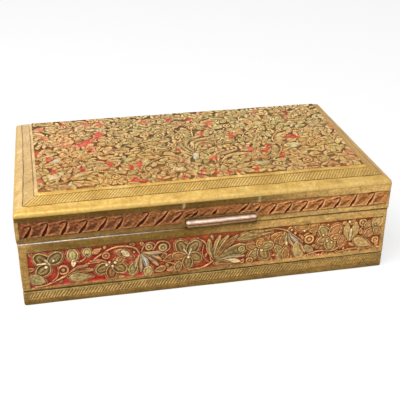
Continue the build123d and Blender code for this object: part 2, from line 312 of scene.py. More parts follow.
def leaf(sheet, x, y, turn, length, width, tone, rise=0.7, bend=0.0, under=False, teeth=7):
    """A pointed leaf with a midrib and side veins."""
    ahead, aside = aims(turn)
    foot = np.array([x, y])
    points = [foot, foot + ahead * length * 0.5 + aside * bend * length, foot + ahead * length]
    half = width / 2
    widths = [0.12, 0.75 * half, half, 0.75 * half, 0.35 * half, 0.08]
    where, inside, along, across = stroke(sheet, points, widths)
    if width > 4.2 and not under:
        surround(sheet, where, inside)
    vein = 0.5 + 0.5 * np.sin(2 * pi * (along * teeth - np.abs(across) * 0.9))
    rib = smooth(1 - np.abs(across) * half / 0.4)
    rim = smooth(1 - inside / 0.45)
    form = 0.72 + 0.28 * np.maximum(rib, rim) - 0.14 * vein * (1 - rim)
    height = rise * smooth(inside / 0.3 + 0.3) * form
    tint, cover = blend_tints(tone, np.clip(1 - np.maximum(rim, 0.8 * rib) - 0.25 * vein, 0, 1))
    tint = tint * (1 - 0.28 * vein * (1 - rim))[..., None]
    lay(sheet, where, inside, height, tint, cover, under=under)


def bead(sheet, x, y, radius, tone="white", under=False):
    """A small dome."""
    where, inside, _, _ = stroke(sheet, [(x, y)], [radius, radius])
    share = np.clip(1 - inside / radius, 0, 1)
    height = 0.85 * np.sqrt(np.clip(1 - share ** 2, 0, 1))
    tint, cover = blend_tints(tone, smooth(share * 1.4 - 0.5))
    lay(sheet, where, inside, height, tint, cover, groove=0.4, under=under)


def bud(sheet, x, y, radius, tone, heart, under=False):
    """A round bud: a raised ring with a button inside it."""
    where, inside, _, _ = stroke(sheet, [(x, y)], [radius, radius])
    out = 1 - inside / radius
    ring = bell(out - 0.74, 0.17)
    button = smooth((0.48 - out) / 0.3)
    height = 0.72 * np.clip(0.15 + np.maximum(ring, button), 0, 1)
    tint, cover = blend_tints(tone, 1 - ring)
    inner, _ = blend_tints(heart, 1 - 0.7 * button)
    tint = np.where((out < 0.55)[..., None], inner, tint)
    lay(sheet, where, inside, height, tint, cover, under=under)


def stamen(sheet, x, y, to_x, to_y, tip, tone="white"):
    """A fine pale stroke from a flower's heart, with a bead of the radius tip at its end, or none."""
    where, inside, _, _ = stroke(sheet, [(x, y), (to_x, to_y)], [0.4, 0.26], margin=0.5)
    tint, cover = blend_tints(tone, np.zeros_like(inside))
    lay(sheet, where, inside, 0.9 + 0 * inside, tint, cover, groove=0.3, cut=0.4)
    if tip:
        bead(sheet, to_x, to_y, tip, tone)


def blade(sheet, x, y, to_x, to_y, width, tone, streak=None, bend=0.0, under=False):
    """A long slim petal of a fan, widest near its tip, with a pale streak along it."""
    foot, tip = np.array([x, y], float), np.array([to_x, to_y], float)
    aside = np.array([-(tip - foot)[1], (tip - foot)[0]])
    points = [foot, (foot + tip) / 2 + aside * bend, tip]
    half = width / 2
    widths = [0.15, 0.45 * half, 0.85 * half, half, 0.45 * half]
    where, inside, along, across = stroke(sheet, points, widths)
    rim = smooth(1 - inside / 0.42)
    middle = smooth(1 - np.abs(across) / 0.35) * smooth((along - 0.1) * 4)
    height = 0.7 * smooth(inside / 0.3 + 0.35) * (0.62 + 0.38 * rim + 0.2 * middle)
    tint, cover = blend_tints(tone, 1 - rim)
    if streak:
        pale, _ = blend_tints(streak, np.zeros_like(inside))
        tint = tint * (1 - middle[..., None]) + pale * middle[..., None]
    lay(sheet, where, inside, height, tint, cover, under=under)


def spray(sheet, path, spacing, size, tones, first):
    """Comma-shaped leaves that spring forward from both sides of a stem, in turn, under what is there."""
    line = smooth_path(path)
    run = np.concatenate([[0], np.cumsum(np.hypot(*np.diff(line, axis=0).T))])
    for number, place in enumerate(np.arange(spacing * 0.6, run[-1], spacing)):
        x, y = np.interp(place, run, line[:, 0]), np.interp(place, run, line[:, 1])
        ahead = [np.interp(place + 0.5, run, line[:, k]) - np.interp(place - 0.5, run, line[:, k])
                 for k in (0, 1)]
        hand = first * (1 if number % 2 else -1)
        turn = np.degrees(np.arctan2(ahead[1], ahead[0])) + hand * 42
        length = size * (0.85 + 0.3 * ((number * 7) % 5) / 4)
        tip = (x + length * cos(radians(turn)), y + length * sin(radians(turn)))
        tone = tones[number % len(tones)]
        blade(sheet, x, y, *tip, length * 0.5, tone, bend=0.16 * hand, under=True)


def dirt_wear_and_painted_light(sheet, reach, dirt, shine, strength=1.0, polish=0.55, painted_slope_shade=0.0):
    """Dirt and painted shade in the hollows, painted shade on the lower side of each ridge and painted
    light on its upper side, and ridges rubbed bright with a painted highlight.

    What is sunken or raised is told from the mean height within reach grid steps."""
    wide = sheet.height.copy()
    for axis in (0, 1):
        total = np.cumsum(np.concatenate([np.repeat(wide.take([0], axis), reach + 1, axis), wide,
                                          np.repeat(wide.take([-1], axis), reach, axis)], axis), axis)
        size = wide.shape[axis]
        wide = (total.take(np.arange(2 * reach + 1, 2 * reach + 1 + size), axis)
                - total.take(np.arange(0, size), axis)) / (2 * reach + 1)
    # the dirt colour in the hollows is partly painted shade, the shine on the ridges partly a painted
    # highlight
    sunken = np.clip((wide - sheet.height) / 0.22, -1, 1) * strength
    dark = np.clip(sunken, 0, 1)[..., None] * 0.6
    bright = np.clip(-sunken, 0, 1)[..., None] * polish
    alpha = sheet.paint[..., 3:]
    tint = sheet.paint[..., :3] * (1 - dark) + np.array(colour(dirt)) * dark
    tint = tint * (1 - bright) + np.array(colour(shine)) * bright
    # painted shade on the slopes that face down the sheet or to its right, painted light on those that face
    # up or to its left
    rise = np.gradient(sheet.height, sheet.v, axis=0) - 0.4 * np.gradient(sheet.height, sheet.u, axis=1)
    tint = tint * (1 - painted_slope_shade * np.clip(rise, -0.7, 1.1))[..., None]
    sheet.paint = np.concatenate([tint, alpha], -1)


def slit(sheet, points, half_widths, tint, depth=0.0, cover=1.0):
    """A dark cut between two leaves."""
    where, inside, _, _ = stroke(sheet, points, half_widths)
    share = smooth(inside / 0.35 + 0.5)
    sheet.height[where] = sheet.height[where] * (1 - share) + depth * share
    sheet.coat(where, share * cover, np.array(colour(tint)))


def incised(sheet, centre, half_width, depth, tint, cover=0.85):
    """A thin line cut along the sheet: centre is its height at each column."""
    share = smooth((half_width - np.abs(sheet.up - centre)) / 0.2 + 0.5)
    sheet.height -= depth * share
    sheet.glaze(cover * share, tint)


def hatched(sheet, low, high, slope, depth, tint, cover, seed):
    """A band of slanting cuts between two lines."""
    inside = np.minimum(sheet.up - low, high - sheet.up)
    share = smooth(inside / 0.4 + 0.2)
    phase = (sheet.across - (sheet.up - low) * slope + wavy(sheet.across, 0.5, seed, 30)) / HATCH_PITCH
    cuts = smooth(1.25 - np.abs((phase % 1.0) - 0.5) * 4.2) * share
    sheet.height -= depth * cuts
    sheet.glaze(cover * cuts, tint)


def add_node(tree, kind, inputs=None, **settings):
    """Add a node: settings are its own choices, inputs are values or sockets for its inputs."""
    node = tree.nodes.new(kind)
    for name, value in settings.items():
        setattr(node, name, value)
    for key, value in (inputs or {}).items():
        if isinstance(value, bpy.types.NodeSocket):
            tree.links.new(value, node.inputs[key])
        else:
            node.inputs[key].default_value = value
    return node


def new_material(name):
    """An empty material with its tree."""
    material = bpy.data.materials.new(name)
    material.use_nodes = True
    material.node_tree.nodes.clear()
    return material, material.node_tree


def ramp(tree, factor, stops):
    """A colour ramp from hex colours at given places."""
    node = add_node(tree, "ShaderNodeValToRGB", {"Fac": factor})
    while len(node.color_ramp.elements) < len(stops):
        node.color_ramp.elements.new(0.5)
    for element, (place, code) in zip(node.color_ramp.elements, stops):
        element.position = place
        element.color = rgba(code)
    return node.outputs["Color"]


def brass(name, stops, roughness=0.4, painted=False, patch=16.0, grain=0.16, streak=0.12, dirt=0.35,
          dirt_colour="#4A3212", mottle=0.0):
    """Brass sheet: slow changes of tarnish, fine grain, level streaks, specks of dirt, and its lacquer.

    Sizes of patches and grain are in millimetres, the rest are shares of the colour's strength."""
    material, tree = new_material(name)
    place = add_node(tree, "ShaderNodeTexCoord").outputs["Object"]

    def noise(size, detail=3.0, stretch=None):
        """Noise with spots of about that size."""
        vector = place
        if stretch:
            mapping = add_node(tree, "ShaderNodeMapping", {"Vector": place, "Scale": stretch})
            vector = mapping.outputs["Vector"]
        node = add_node(tree, "ShaderNodeTexNoise", {"Vector": vector, "Scale": 1 / (size * MM),
                                                     "Detail": detail, "Roughness": 0.62})
        return node.outputs["Fac"]

    def spread(value, low, high, start=0.3, end=0.7):
        """The value from start to end, laid out from low to high."""
        node = add_node(tree, "ShaderNodeMapRange", {"Value": value, "From Min": start, "From Max": end,
                                                     "To Min": low, "To Max": high})
        return node.outputs["Result"]

    tarnish, fine, level = noise(patch, 6.0), noise(1.3), noise(1.2, 3.0, (0.09, 0.09, 1.0))
    metal = ramp(tree, tarnish, stops)
    metal_share = 1.0
    if painted:
        lacquer = add_node(tree, "ShaderNodeAttribute", attribute_name="lacquer",
                           attribute_type="GEOMETRY")
        metal = add_node(tree, "ShaderNodeMix", {0: lacquer.outputs["Alpha"], 6: metal,
                                                 7: lacquer.outputs["Color"]}, data_type="RGBA").outputs[2]
        metal_share = spread(lacquer.outputs["Alpha"], 1.0, 0.45, 0.0, 1.0)
    shades = (spread(fine, 1 - grain, 1 + grain), spread(level, 1 - streak, 1 + streak))
    shade = add_node(tree, "ShaderNodeMath", dict(enumerate(shades)), operation="MULTIPLY")
    if mottle:
        blotch = spread(noise(4.5, 3.0), 1 - mottle, 1 + mottle, 0.35, 0.65)
        shade = add_node(tree, "ShaderNodeMath", {0: shade.outputs[0], 1: blotch}, operation="MULTIPLY")
    metal = add_node(tree, "ShaderNodeVectorMath", {0: metal, "Scale": shade.outputs[0]},
                     operation="SCALE")
    specks = spread(noise(3.1, 4.0), 0.0, dirt, 0.54, 0.7)
    tint = add_node(tree, "ShaderNodeMix", {0: specks, 6: metal.outputs[0], 7: rgba(dirt_colour)},
                    data_type="RGBA").outputs[2]
    soft = add_node(tree, "ShaderNodeBump", {"Height": noise(7.0, 2.0), "Strength": 0.35,
                                             "Distance": 0.0005})
    bump = add_node(tree, "ShaderNodeBump", {"Height": noise(0.9, 4.0), "Strength": 0.25,
                                             "Distance": 0.00012, "Normal": soft.outputs["Normal"]})
    shader = add_node(tree, "ShaderNodeBsdfPrincipled", {
        "Base Color": tint, "Roughness": spread(tarnish, roughness - 0.07, roughness + 0.12),
        "Normal": bump.outputs["Normal"], "Specular IOR Level": 0.12, "Metallic": metal_share})
    add_node(tree, "ShaderNodeOutputMaterial", {"Surface": shader.outputs["BSDF"]})
    return material


def wood(name):
    """Thin waxed boards: long brown grain with darker pores."""
    material, tree = new_material(name)
    place = add_node(tree, "ShaderNodeTexCoord").outputs["Object"]
    stretched = add_node(tree, "ShaderNodeMapping", {"Vector": place, "Scale": (60.0, 700.0, 700.0)})
    grain = add_node(tree, "ShaderNodeTexNoise", {"Vector": stretched.outputs["Vector"], "Scale": 1.0,
                                                  "Detail": 8.0, "Roughness": 0.65, "Distortion": 0.6})
    tint = ramp(tree, grain.outputs["Fac"], [(0.28, "#3C1E0E"), (0.5, "#6E4022"), (0.72, "#8E5A32")])
    bump = add_node(tree, "ShaderNodeBump", {"Height": grain.outputs["Fac"], "Strength": 0.3,
                                             "Distance": 0.0002})
    shader = add_node(tree, "ShaderNodeBsdfPrincipled", {"Base Color": tint, "Roughness": 0.5,
                                                         "Normal": bump.outputs["Normal"]})
    add_node(tree, "ShaderNodeOutputMaterial", {"Surface": shader.outputs["BSDF"]})
    return material


# Walls: brown, streaked and speckled brass under worn red, green and blue lacquer
PLATE_BRASS = brass("Chased brass plate, tarnished and lacquered",
                    [(0.3, "#7A5E30"), (0.5, "#A0814A"), (0.7, "#C0A068")], painted=True, grain=0.3,
                    streak=0.24, dirt=0.45, mottle=0.14)
# Border: yellow brass, rubbed by hand to a soft shine, with small orange stains
BORDER_BRASS = brass("Hand-polished brass border",
                     [(0.3, "#AC7F38"), (0.5, "#CEA656"), (0.68, "#E8CC84")], roughness=0.55,
                     painted=True, patch=11.0, streak=0.05, dirt=0.4, dirt_colour="#A8752E", mottle=0.05)
# Top panel: warm tan brass with a fine grain, its lacquer worn thin
PANEL_BRASS = brass("Chased brass panel, worn lacquer",
                    [(0.3, "#9E7640"), (0.5, "#BC915A"), (0.7, "#D0AA78")], painted=True, grain=0.24,
                    streak=0.04, mottle=0.07)
# Bottom sheet and hinge bearers: dull, greenish brown brass
SHEET_BRASS = brass("Dull brass sheet", [(0.3, "#6A5424"), (0.5, "#957A3A"), (0.7, "#AE9250")],
                    roughness=0.45)
# Hinge tubes: drawn brass, smoother and lighter than the sheet
TUBE_BRASS = brass("Drawn brass tube", [(0.3, "#80662E"), (0.5, "#A88A46"), (0.7, "#C8AA64")],
                   roughness=0.36)
# Hinge wire: the smoothest and lightest of the hinge's metals
WIRE_BRASS = brass("Drawn brass wire", [(0.3, "#8A7036"), (0.5, "#B0924C"), (0.7, "#C8AC68")],
                   roughness=0.33)
# Pull: pinkish plating worn through to brown brass
PULL_METAL = brass("Worn plating over brass", [(0.3, "#6E5440"), (0.5, "#8E7258"), (0.7, "#B49A82")],
                   roughness=0.42, painted=True, patch=5.0, grain=0.2)
# Lining: red-brown boards, waxed, with dark pores along the grain
WOOD = wood("Waxed wood boards")


def make_object(name, bm, material):
    """A mesh object with its material, from a finished bmesh."""
    mesh = bpy.data.meshes.new(name)
    bm.to_mesh(mesh)
    bm.free()
    mesh.materials.append(material)
    piece = bpy.data.objects.new(name, mesh)
    bpy.context.scene.collection.objects.link(piece)
    return piece


def make_sheet(name, points, sheet, inner, material):
    """A closed plate: the relief's grid as its face, its edges turned back to the inner face."""
    rows, columns = points.shape[:2]
    bm = bmesh.new()
    bmesh.ops.create_grid(bm, x_segments=columns - 1, y_segments=rows - 1, size=0.5)
    lacquer = bm.verts.layers.float_color.new("lacquer")
    flat, paint = points.reshape(-1, 3) * MM, sheet.paint.reshape(-1, 4)
    back = inner.reshape(-1, 3) * MM
    for vert, place, tint in zip(bm.verts, flat, paint):
        vert.co = place
        vert[lacquer] = tint
    bm.verts.index_update()
    rim = [edge for edge in bm.edges if edge.is_boundary]
    source = {}
    for edge in rim:
        edge.smooth = False
        for vert in edge.verts:
            source[tuple(vert.co)] = vert.index
    made = bmesh.ops.extrude_edge_only(bm, edges=rim)["geom"]
    for vert in [g for g in made if isinstance(g, bmesh.types.BMVert)]:
        vert.co = back[source[tuple(vert.co)]]
    for face in bm.faces:
        face.smooth = True
    inner_rim = [g for g in made if isinstance(g, bmesh.types.BMEdge) and g.is_boundary]
    for edge in inner_rim:
        edge.smooth = False
    bmesh.ops.contextual_create(bm, geom=inner_rim)
    bmesh.ops.recalc_face_normals(bm, faces=bm.faces)
    return make_object(name, bm, material)


def finished(piece, body, node):
    """Hang the piece under the body it moves with, and hide the CAD part that it stands in for."""
    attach(piece, body)
    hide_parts(node)


def extent(half, side):
    """A side's length, and the distance from it to the opposite side."""
    sizes = (half["length"], half["width"])
    return sizes if side in ("front", "back") else sizes[::-1]


def wall_face(half, side, u, z, out):
    """Points on one side's outer face: u runs on round the corners, out stands off the flat face."""
    run, depth = extent(half, side)
    straight = run / 2 - CORNER
    turn = np.clip(np.abs(u) - straight, 0, None) / CORNER
    along = np.sign(u) * (np.minimum(np.abs(u), straight) + (CORNER + out) * np.sin(turn))
    outward = depth / 2 - CORNER + (CORNER + out) * np.cos(turn)
    (ux, uy), (nx, ny) = SIDES[side]
    return np.stack([along * ux + outward * nx, along * uy + outward * ny, z + 0 * along], -1)


def wall_back(half, side, u, z):
    """Points on the same plate's inner face."""
    run, depth = extent(half, side)
    along = np.clip(u, -(run / 2 - WALL), run / 2 - WALL)
    (ux, uy), (nx, ny) = SIDES[side]
    inner = depth / 2 - WALL
    return np.stack([along * ux + inner * nx, along * uy + inner * ny, z + 0 * along], -1)


def columns(run, step):
    """Columns of a plate's grid, with four round each corner."""
    straight = run / 2 - CORNER
    arc = CORNER * pi / 4
    return spaced(-straight - arc, (-straight, arc / 4), (straight, step), (straight + arc, arc / 4))


def rounded_edge(distance, radius):
    """How far a rounded edge falls back, by the distance from the edge."""
    d = np.clip(radius - distance, 0, radius)
    return np.sqrt(radius ** 2 - d ** 2) - radius


def base_owns(x):
    """Whether the tube at each place along the hinge is the base's: the two halves take turns."""
    index = np.floor((x + HINGE_HALF) / HINGE_PITCH).astype(int)
    return index % 2 == 0


def build_wall(half_name, side, sheet, out):
    """Bend a worked sheet to its side, bevel and groove the back ones for the hinge, and close it."""
    half = HALVES[half_name]
    base = half_name == "base"
    # the edge where the halves meet, and which way the hinge's bevel runs off from it
    meet, way = (half["high"], -1) if base else (half["low"], 1)
    z = sheet.up.copy()
    back_z = sheet.up.copy()
    if base:
        out = out + rounded_edge(z - half["low"], FOOT)
    if side != "back":
        out = out + rounded_edge(np.abs(z - meet), WORN_EDGE)
    else:
        x = -sheet.across
        radius = np.where(base_owns(x) == base, TUBE_ROOM, TUBE_CLEAR)
        notched = np.abs(x) < HINGE_HALF
        face = half["width"] / 2
        deep = np.sqrt(radius ** 2 - (HINGE_Y - face + WALL) ** 2)
        edge = np.where(notched, HINGE_Z + way * BEVEL * radius / np.hypot(1, BEVEL), meet)
        bend = BEND[half_name]
        z = np.where(way * (z - bend) < 0, bend + (z - bend) * (edge - bend) / (meet - bend), z)
        back_z = np.where(np.abs(sheet.up - meet) < 1e-6, np.where(notched, HINGE_Z + way * deep, meet), z)
        out = np.minimum(out, HINGE_Y + way * (z - HINGE_Z) / BEVEL - face)
    points = wall_face(half, side, sheet.across, z, out)
    inner_points = wall_back(half, side, sheet.across, back_z)
    # behind the hinge's axis every edge keeps to the bevel, round the corners too, to open freely
    for places in (points, inner_points):
        past = HINGE_Z + way * BEVEL * np.clip(places[..., 1] - HINGE_Y, 0, None)
        places[..., 2] = (np.minimum if base else np.maximum)(places[..., 2], past)
    piece = make_sheet(f"{half_name}_{side}_chased_plate", points, sheet, inner_points, PLATE_BRASS)
    finished(piece, half_name, f"{half_name}_{side}_plate")


def sunk(sheet, low, high, first, last, soft):
    """How far each point belongs to a sunk field: 0 on the plain face, 1 inside."""
    edge = np.minimum(np.minimum(sheet.up - low, high - sheet.up),
                      np.minimum(sheet.across - first, last - sheet.across))
    return smooth(edge / soft + 0.5)


# Red lacquer that shows between the front's motifs: place, size, colour, stretch and turn
FRONT_REDS = (
    (-94.6, 25, 1.3, "#A8322A", 3.5, 90), (-75, 30.6, 1.9, "#C04440", 1.3, 0),
    (-67.4, 26.6, 1.8, "#BE3232", 1.4, 90), (-60.4, 26.2, 1.8, "#B82E2C", 1.6, 0),
    (-61, 22.7, 1.5, "#C0262A", 3.6, 0), (-56, 23.2, 1.5, "#B82A28", 2.2, -20),
    (-78, 24.6, 2.4, "#A43A30", 1.8, 0), (-86, 15, 1.8, "#9C2C24", 1.4, 40),
    (-78, 11.8, 2.0, "#BC4444", 2.4, 5), (-90, 12, 1.5, "#A83A34", 2.4, 0),
    (-60, 13.2, 2.6, "#BE2424", 1.7, 0), (-56.4, 11.4, 2.0, "#B42424", 1.6, 0),
    (-50, 26, 1.5, "#BC383A", 1.2, 0), (-47.6, 24.4, 1.7, "#B83A40", 1.2, 0),
    (-41, 22, 2.7, "#D04450", 1.4, 40), (-46, 18.5, 1.6, "#B43236", 1.3, 90),
    (-44.5, 11.5, 2.0, "#C44048", 1.5, 0), (-39.5, 12, 2.2, "#C63C44", 1.3, 0),
    (-47, 14, 1.6, "#B43A3C", 1.2, 90), (-36, 30.6, 1.8, "#B63E3E", 1.6, 0),
    (-33, 17, 1.4, "#A8382E", 1.2, 0), (-29.4, 13.6, 1.3, "#C04044", 1.7, 90),
    (-28.3, 16.2, 1.3, "#BC3E40", 1.2, 0), (-20.6, 12.1, 1.8, "#BE3230", 1.2, 0),
    (-18, 16.5, 1.4, "#A2322A", 2.2, 15), (-14, 12.6, 1.4, "#98302A", 1.6, 0),
    (-17, 24, 1.2, "#96341E", 1.8, 60), (-4.6, 22.4, 2.6, "#B62E2E", 1.7, 90),
    (-1.4, 19.6, 2.0, "#B82C28", 2.3, 100), (-3, 14, 1.4, "#A83A2C", 1.4, 0),
    (25, 24.2, 1.4, "#B83A30", 3.0, -25), (28.4, 23, 1.6, "#C65A50", 1.2, 0),
    (35.2, 14.8, 2.1, "#C23C36", 1.9, 90), (34.6, 12, 2.0, "#BC342E", 1.2, 0),
    (35.6, 19.4, 1.4, "#B4402E", 1.6, 90), (18, 15.2, 1.7, "#A44430", 1.4, 0),
    (46.2, 12.6, 2.0, "#AA3024", 1.3, 0), (44.4, 16.2, 1.2, "#963020", 1.8, 90),
    (49.4, 24, 1.0, "#A43A2A", 2.0, -30), (64, 13.2, 1.5, "#BE3026", 3.6, 5),
    (71, 14.8, 1.0, "#B83C2C", 2.5, 8), (55, 13.4, 1.4, "#AC4630", 1.4, 0),
    (53, 24.6, 1.2, "#A2402C", 1.6, 0), (96.6, 27.4, 1.4, "#C04440", 3.2, 90),
    (95.4, 32, 1.2, "#B04A46", 1.6, 0), (72, 31.4, 1.2, "#8A301E", 1.8, 0),
    (90, 31.6, 1.2, "#8A2E20", 1.8, 0),
)


def front_flowers(s):
    """The field of flowers on the base's front, from left to right."""
    # first flower, its buds and the vine that leaves it
    petal(s, -85, 23.3, 137, 9.6, 8.2, "olive")
    petal(s, -84.6, 24, 44, 8.8, 7.4, "grey")
    petal(s, -85.4, 22.6, 222, 8.2, 7.8, "olive")
    leaf(s, -95.4, 16.6, -26, 9.0, 6.6, "cream")
    bud(s, -78, 19.3, 3.2, "rust", "brown")
    stem(s, [(-93, 10.6), (-87, 11.2), (-78, 15), (-73, 18), (-66, 21.3), (-57, 22)], 0.75, 0.45, "clay")
    stem(s, [(-84, 13), (-81, 16.2), (-80.5, 21.5)], 0.5, 0.3, "rust")
    blade(s, -76, 15.4, -63, 17.6, 3.0, "brown", bend=0.08)
    blade(s, -76, 16.6, -65.5, 20.4, 2.2, "rust", bend=0.1)
    leaf(s, -75.5, 14.2, -3, 12.5, 5.4, "cream")
    petal(s, -72.4, 24.6, 96, 6.8, 6.4, "cream")
    petal(s, -72.8, 20.6, 82, 4.6, 2.6, "white", rim=0.5)
    petal(s, -65.4, 26.2, 86, 5.0, 4.8, "cream")
    leaf(s, -62.8, 27.2, 28, 6.0, 3.2, "tan")
    stem(s, [(-72, 24), (-69, 23.3), (-66.5, 25), (-65.5, 27)], 0.45, 0.3, "clay")
    stamen(s, -86.5, 26.5, -84.5, 23.5, tip=0)
    stamen(s, -86.4, 24.6, -91, 24.2, tip=0)
    bead(s, -82.5, 25.5, 0.8)
    bead(s, -86.5, 22.0, 0.9)
    # second flower under its arching stems
    stem(s, [(-62, 23.6), (-58, 26.4), (-52, 29.4), (-46, 29.8), (-40.5, 28.2), (-38, 24.6)], 0.55, 0.7,
         "clay")
    bud(s, -55.6, 25.3, 2.3, "rust", "rust")
    stem(s, [(-64, 22.8), (-59, 23), (-54.5, 21)], 0.5, 0.35, "rust")
    petal(s, -54, 19.2, 206, 8.2, 7.2, "olive")
    petal(s, -53, 18.6, 268, 8.0, 6.8, "brown")
    petal(s, -52, 19, 330, 8.0, 7.2, "olive")
    petal(s, -51.4, 20, 32, 6.2, 4.6, "tan", veins=16)
    leaf(s, -50.5, 27.8, -30, 10.5, 5.2, "tan")
    petal(s, -47.4, 27.0, -38, 5.0, 3.2, "white")
    for x, y, radius in ((-55.5, 19.5, 0.9), (-54, 21, 0.7), (-51, 20.5, 0.9), (-50, 22, 0.6),
                         (-52.5, 18.5, 0.8)):
        bead(s, x, y, radius)
    petal(s, -42.8, 11.8, 74, 7.8, 5.4, "green")
    # first fan of blades, blue in their hollows
    stem(s, [(-38, 24.6), (-33, 22.5), (-28, 19.5), (-20, 16), (-12, 12.6)], 0.7, 0.4, "clay")
    blade(s, -37.5, 24.5, -40.6, 16.4, 2.4, "olive", "white", bend=-0.06)
    blade(s, -37.4, 24.4, -37.6, 13.4, 2.2, "olive", "blue")
    blade(s, -37.2, 24.4, -34.2, 15.6, 3.0, "blue", "white", bend=0.05)
    blade(s, -37.0, 24.5, -28.6, 16.2, 2.4, "olive", "blue", bend=0.06)
    blade(s, -37.0, 24.8, -27.0, 20.0, 2.4, "tan", "white", bend=0.05)
    blade(s, -36.8, 25.2, -26.0, 24.0, 2.4, "teal", "blue", bend=-0.06)
    petal(s, -33.6, 15.4, 262, 5.4, 5.2, "cream")
    stem(s, [(-37, 25.5), (-35.5, 29), (-32.5, 30.6), (-29.8, 28.8), (-31, 26.2)], 0.5, 0.4, "clay")
    bud(s, -33, 28.0, 2.2, "olive", "olive")
    stem(s, [(-31, 26), (-27.6, 30.4), (-23, 29.6), (-22, 26), (-26, 23)], 0.5, 0.35, "clay")
    bud(s, -25.6, 26.8, 2.4, "cream", "olive")
    petal(s, -25.6, 18.6, 22, 8.0, 4.2, "brown")
    petal(s, -30, 12.6, 18, 6.0, 3.6, "olive")
    leaf(s, -24, 12.2, 8, 8.0, 3.4, "tan")
    # third flower
    petal(s, -13, 21.6, 120, 9.6, 7.6, "olive")
    petal(s, -12.2, 21.4, 52, 9.4, 7.4, "grey")
    petal(s, -11.8, 20.4, 334, 8.0, 7.0, "olive")
    petal(s, -13.6, 20.4, 176, 7.4, 5.2, "tan")
    petal(s, -12.6, 19.8, 272, 8.0, 6.4, "olive")
    stamen(s, -14.5, 24.5, -12.5, 21, tip=0)
    stamen(s, -10.5, 24.3, -11.8, 20.5, tip=0.6)
    bead(s, -12, 19, 0.8)
    stem(s, [(-7, 30.4), (-3, 27), (-0.8, 21), (0.4, 15.4)], 0.55, 0.45, "clay")
    stem(s, [(-3.6, 25.4), (-4.4, 20.5), (-2.6, 16.2), (0.6, 13.8)], 0.35, 0.35, "rust")
    petal(s, -18.8, 11.4, 70, 6.0, 4.6, "olive")
    # second fan, with a large looped leaf
    stem(s, [(-12, 11.2), (-4, 11.8), (2, 15.5)], 0.5, 0.6, "clay")
    blade(s, 2, 15.6, -0.6, 28.4, 3.4, "olive", "teal", bend=0.1)
    blade(s, 2.2, 15.8, 2.2, 24.6, 2.6, "teal", "white")
    blade(s, 2.4, 15.8, 5.2, 30.0, 3.2, "olive", "cream", bend=0.06)
    blade(s, 2.6, 15.8, 9.6, 29.6, 3.4, "olive", "cream", bend=0.06)
    blade(s, 2.8, 15.8, 14.6, 29.2, 3.8, "brown", bend=0.06)
    blade(s, 3, 15.4, 20.8, 21.6, 7.2, "green", bend=0.06)
    bud(s, 17.2, 20.8, 2.0, "cream", "olive")
    blade(s, 3, 14.8, 16.2, 13.0, 3.0, "white", "white", bend=0.06)
    blade(s, 3, 15, 18.6, 16.4, 2.4, "teal", "white", bend=0.06)
    leaf(s, 2.5, 13.4, -8, 10.5, 4.6, "brown")
    # fourth flower
    leaf(s, 14.6, 27.0, 6, 19.5, 5.6, "green", bend=0.06)
    leaf(s, 21, 31.2, -4, 14.0, 2.6, "tan")
    petal(s, 26.6, 20, 158, 7.4, 5.6, "tan")
    petal(s, 27, 19.4, 226, 7.8, 5.6, "green")
    petal(s, 27.4, 19.2, 306, 8.4, 7.4, "olive")
    petal(s, 27.6, 20, 14, 8.0, 6.0, "green")
    petal(s, 27, 20.6, 78, 6.0, 5.0, "ochre")
    bead(s, 25, 19.5, 0.9, "cream")
    bead(s, 28.5, 18.5, 0.9)
    bead(s, 27.2, 21.8, 0.6, "cream")
    bud(s, 21.8, 12.8, 2.2, "tan", "brown")
    petal(s, 36.6, 20.6, 300, 6.0, 4.6, "green")
    leaf(s, 38.4, 11.2, 70, 8.6, 4.8, "green")
    # curled acanthus and the third fan
    for turn, tone in ((200, "tan"), (228, "brown"), (256, "ochre"), (284, "tan")):
        petal(s, 41, 28.6, turn, 8.2, 4.0, tone, bend=0.1)
    stem(s, [(30, 30.8), (36, 31.2), (42, 29.4), (47, 25.4), (52, 21)], 0.6, 0.4, "tan")
    blade(s, 42.6, 28, 42.6, 20.4, 2.4, "teal", "white", bend=-0.08)
    blade(s, 43, 28, 46.2, 19.8, 2.4, "olive", "blue", bend=-0.06)
    blade(s, 43.4, 28, 49.6, 20.4, 2.4, "blue", "white", bend=-0.05)
    petal(s, 48.2, 21.4, 282, 10.4, 6.4, "cream", veins=5)
    petal(s, 42.4, 18.4, 268, 7.4, 4.8, "tan")
    blade(s, 50, 20.6, 53.6, 14.6, 2.4, "tan", "white")
    leaf(s, 53.2, 18.8, -50, 9.2, 4.2, "teal")
    petal(s, 46.8, 30.8, -8, 7.6, 5.0, "ochre")
    bead(s, 52.4, 28.0, 0.7)
    bud(s, 55.4, 22.4, 3.0, "tan", "brown")
    petal(s, 55.6, 28, 60, 6.6, 5.6, "ochre")
    petal(s, 55, 27.6, 6, 5.4, 3.4, "tan")
    # fifth flower
    petal(s, 66.6, 22.6, 128, 8.8, 6.6, "green")
    petal(s, 67.4, 22.8, 52, 8.8, 7.0, "pink")
    petal(s, 66.2, 22, 200, 6.4, 5.4, "olive")
    petal(s, 67, 21.6, 280, 8.0, 7.2, "green")
    petal(s, 68, 22.2, 350, 6.4, 5.0, "tan")
    for x, y, radius in ((63.4, 24.2, 0.8), (66, 20, 0.9), (68.6, 19, 0.7), (70.4, 21.4, 0.7)):
        bead(s, x, y, radius, "cream")
    stem(s, [(56, 13.2), (62, 14.2), (70, 13.6), (76, 18), (84, 24.4), (88, 30.6)], 0.6, 0.35, "tan")
    petal(s, 73.4, 15.4, 74, 7.6, 5.2, "pink")
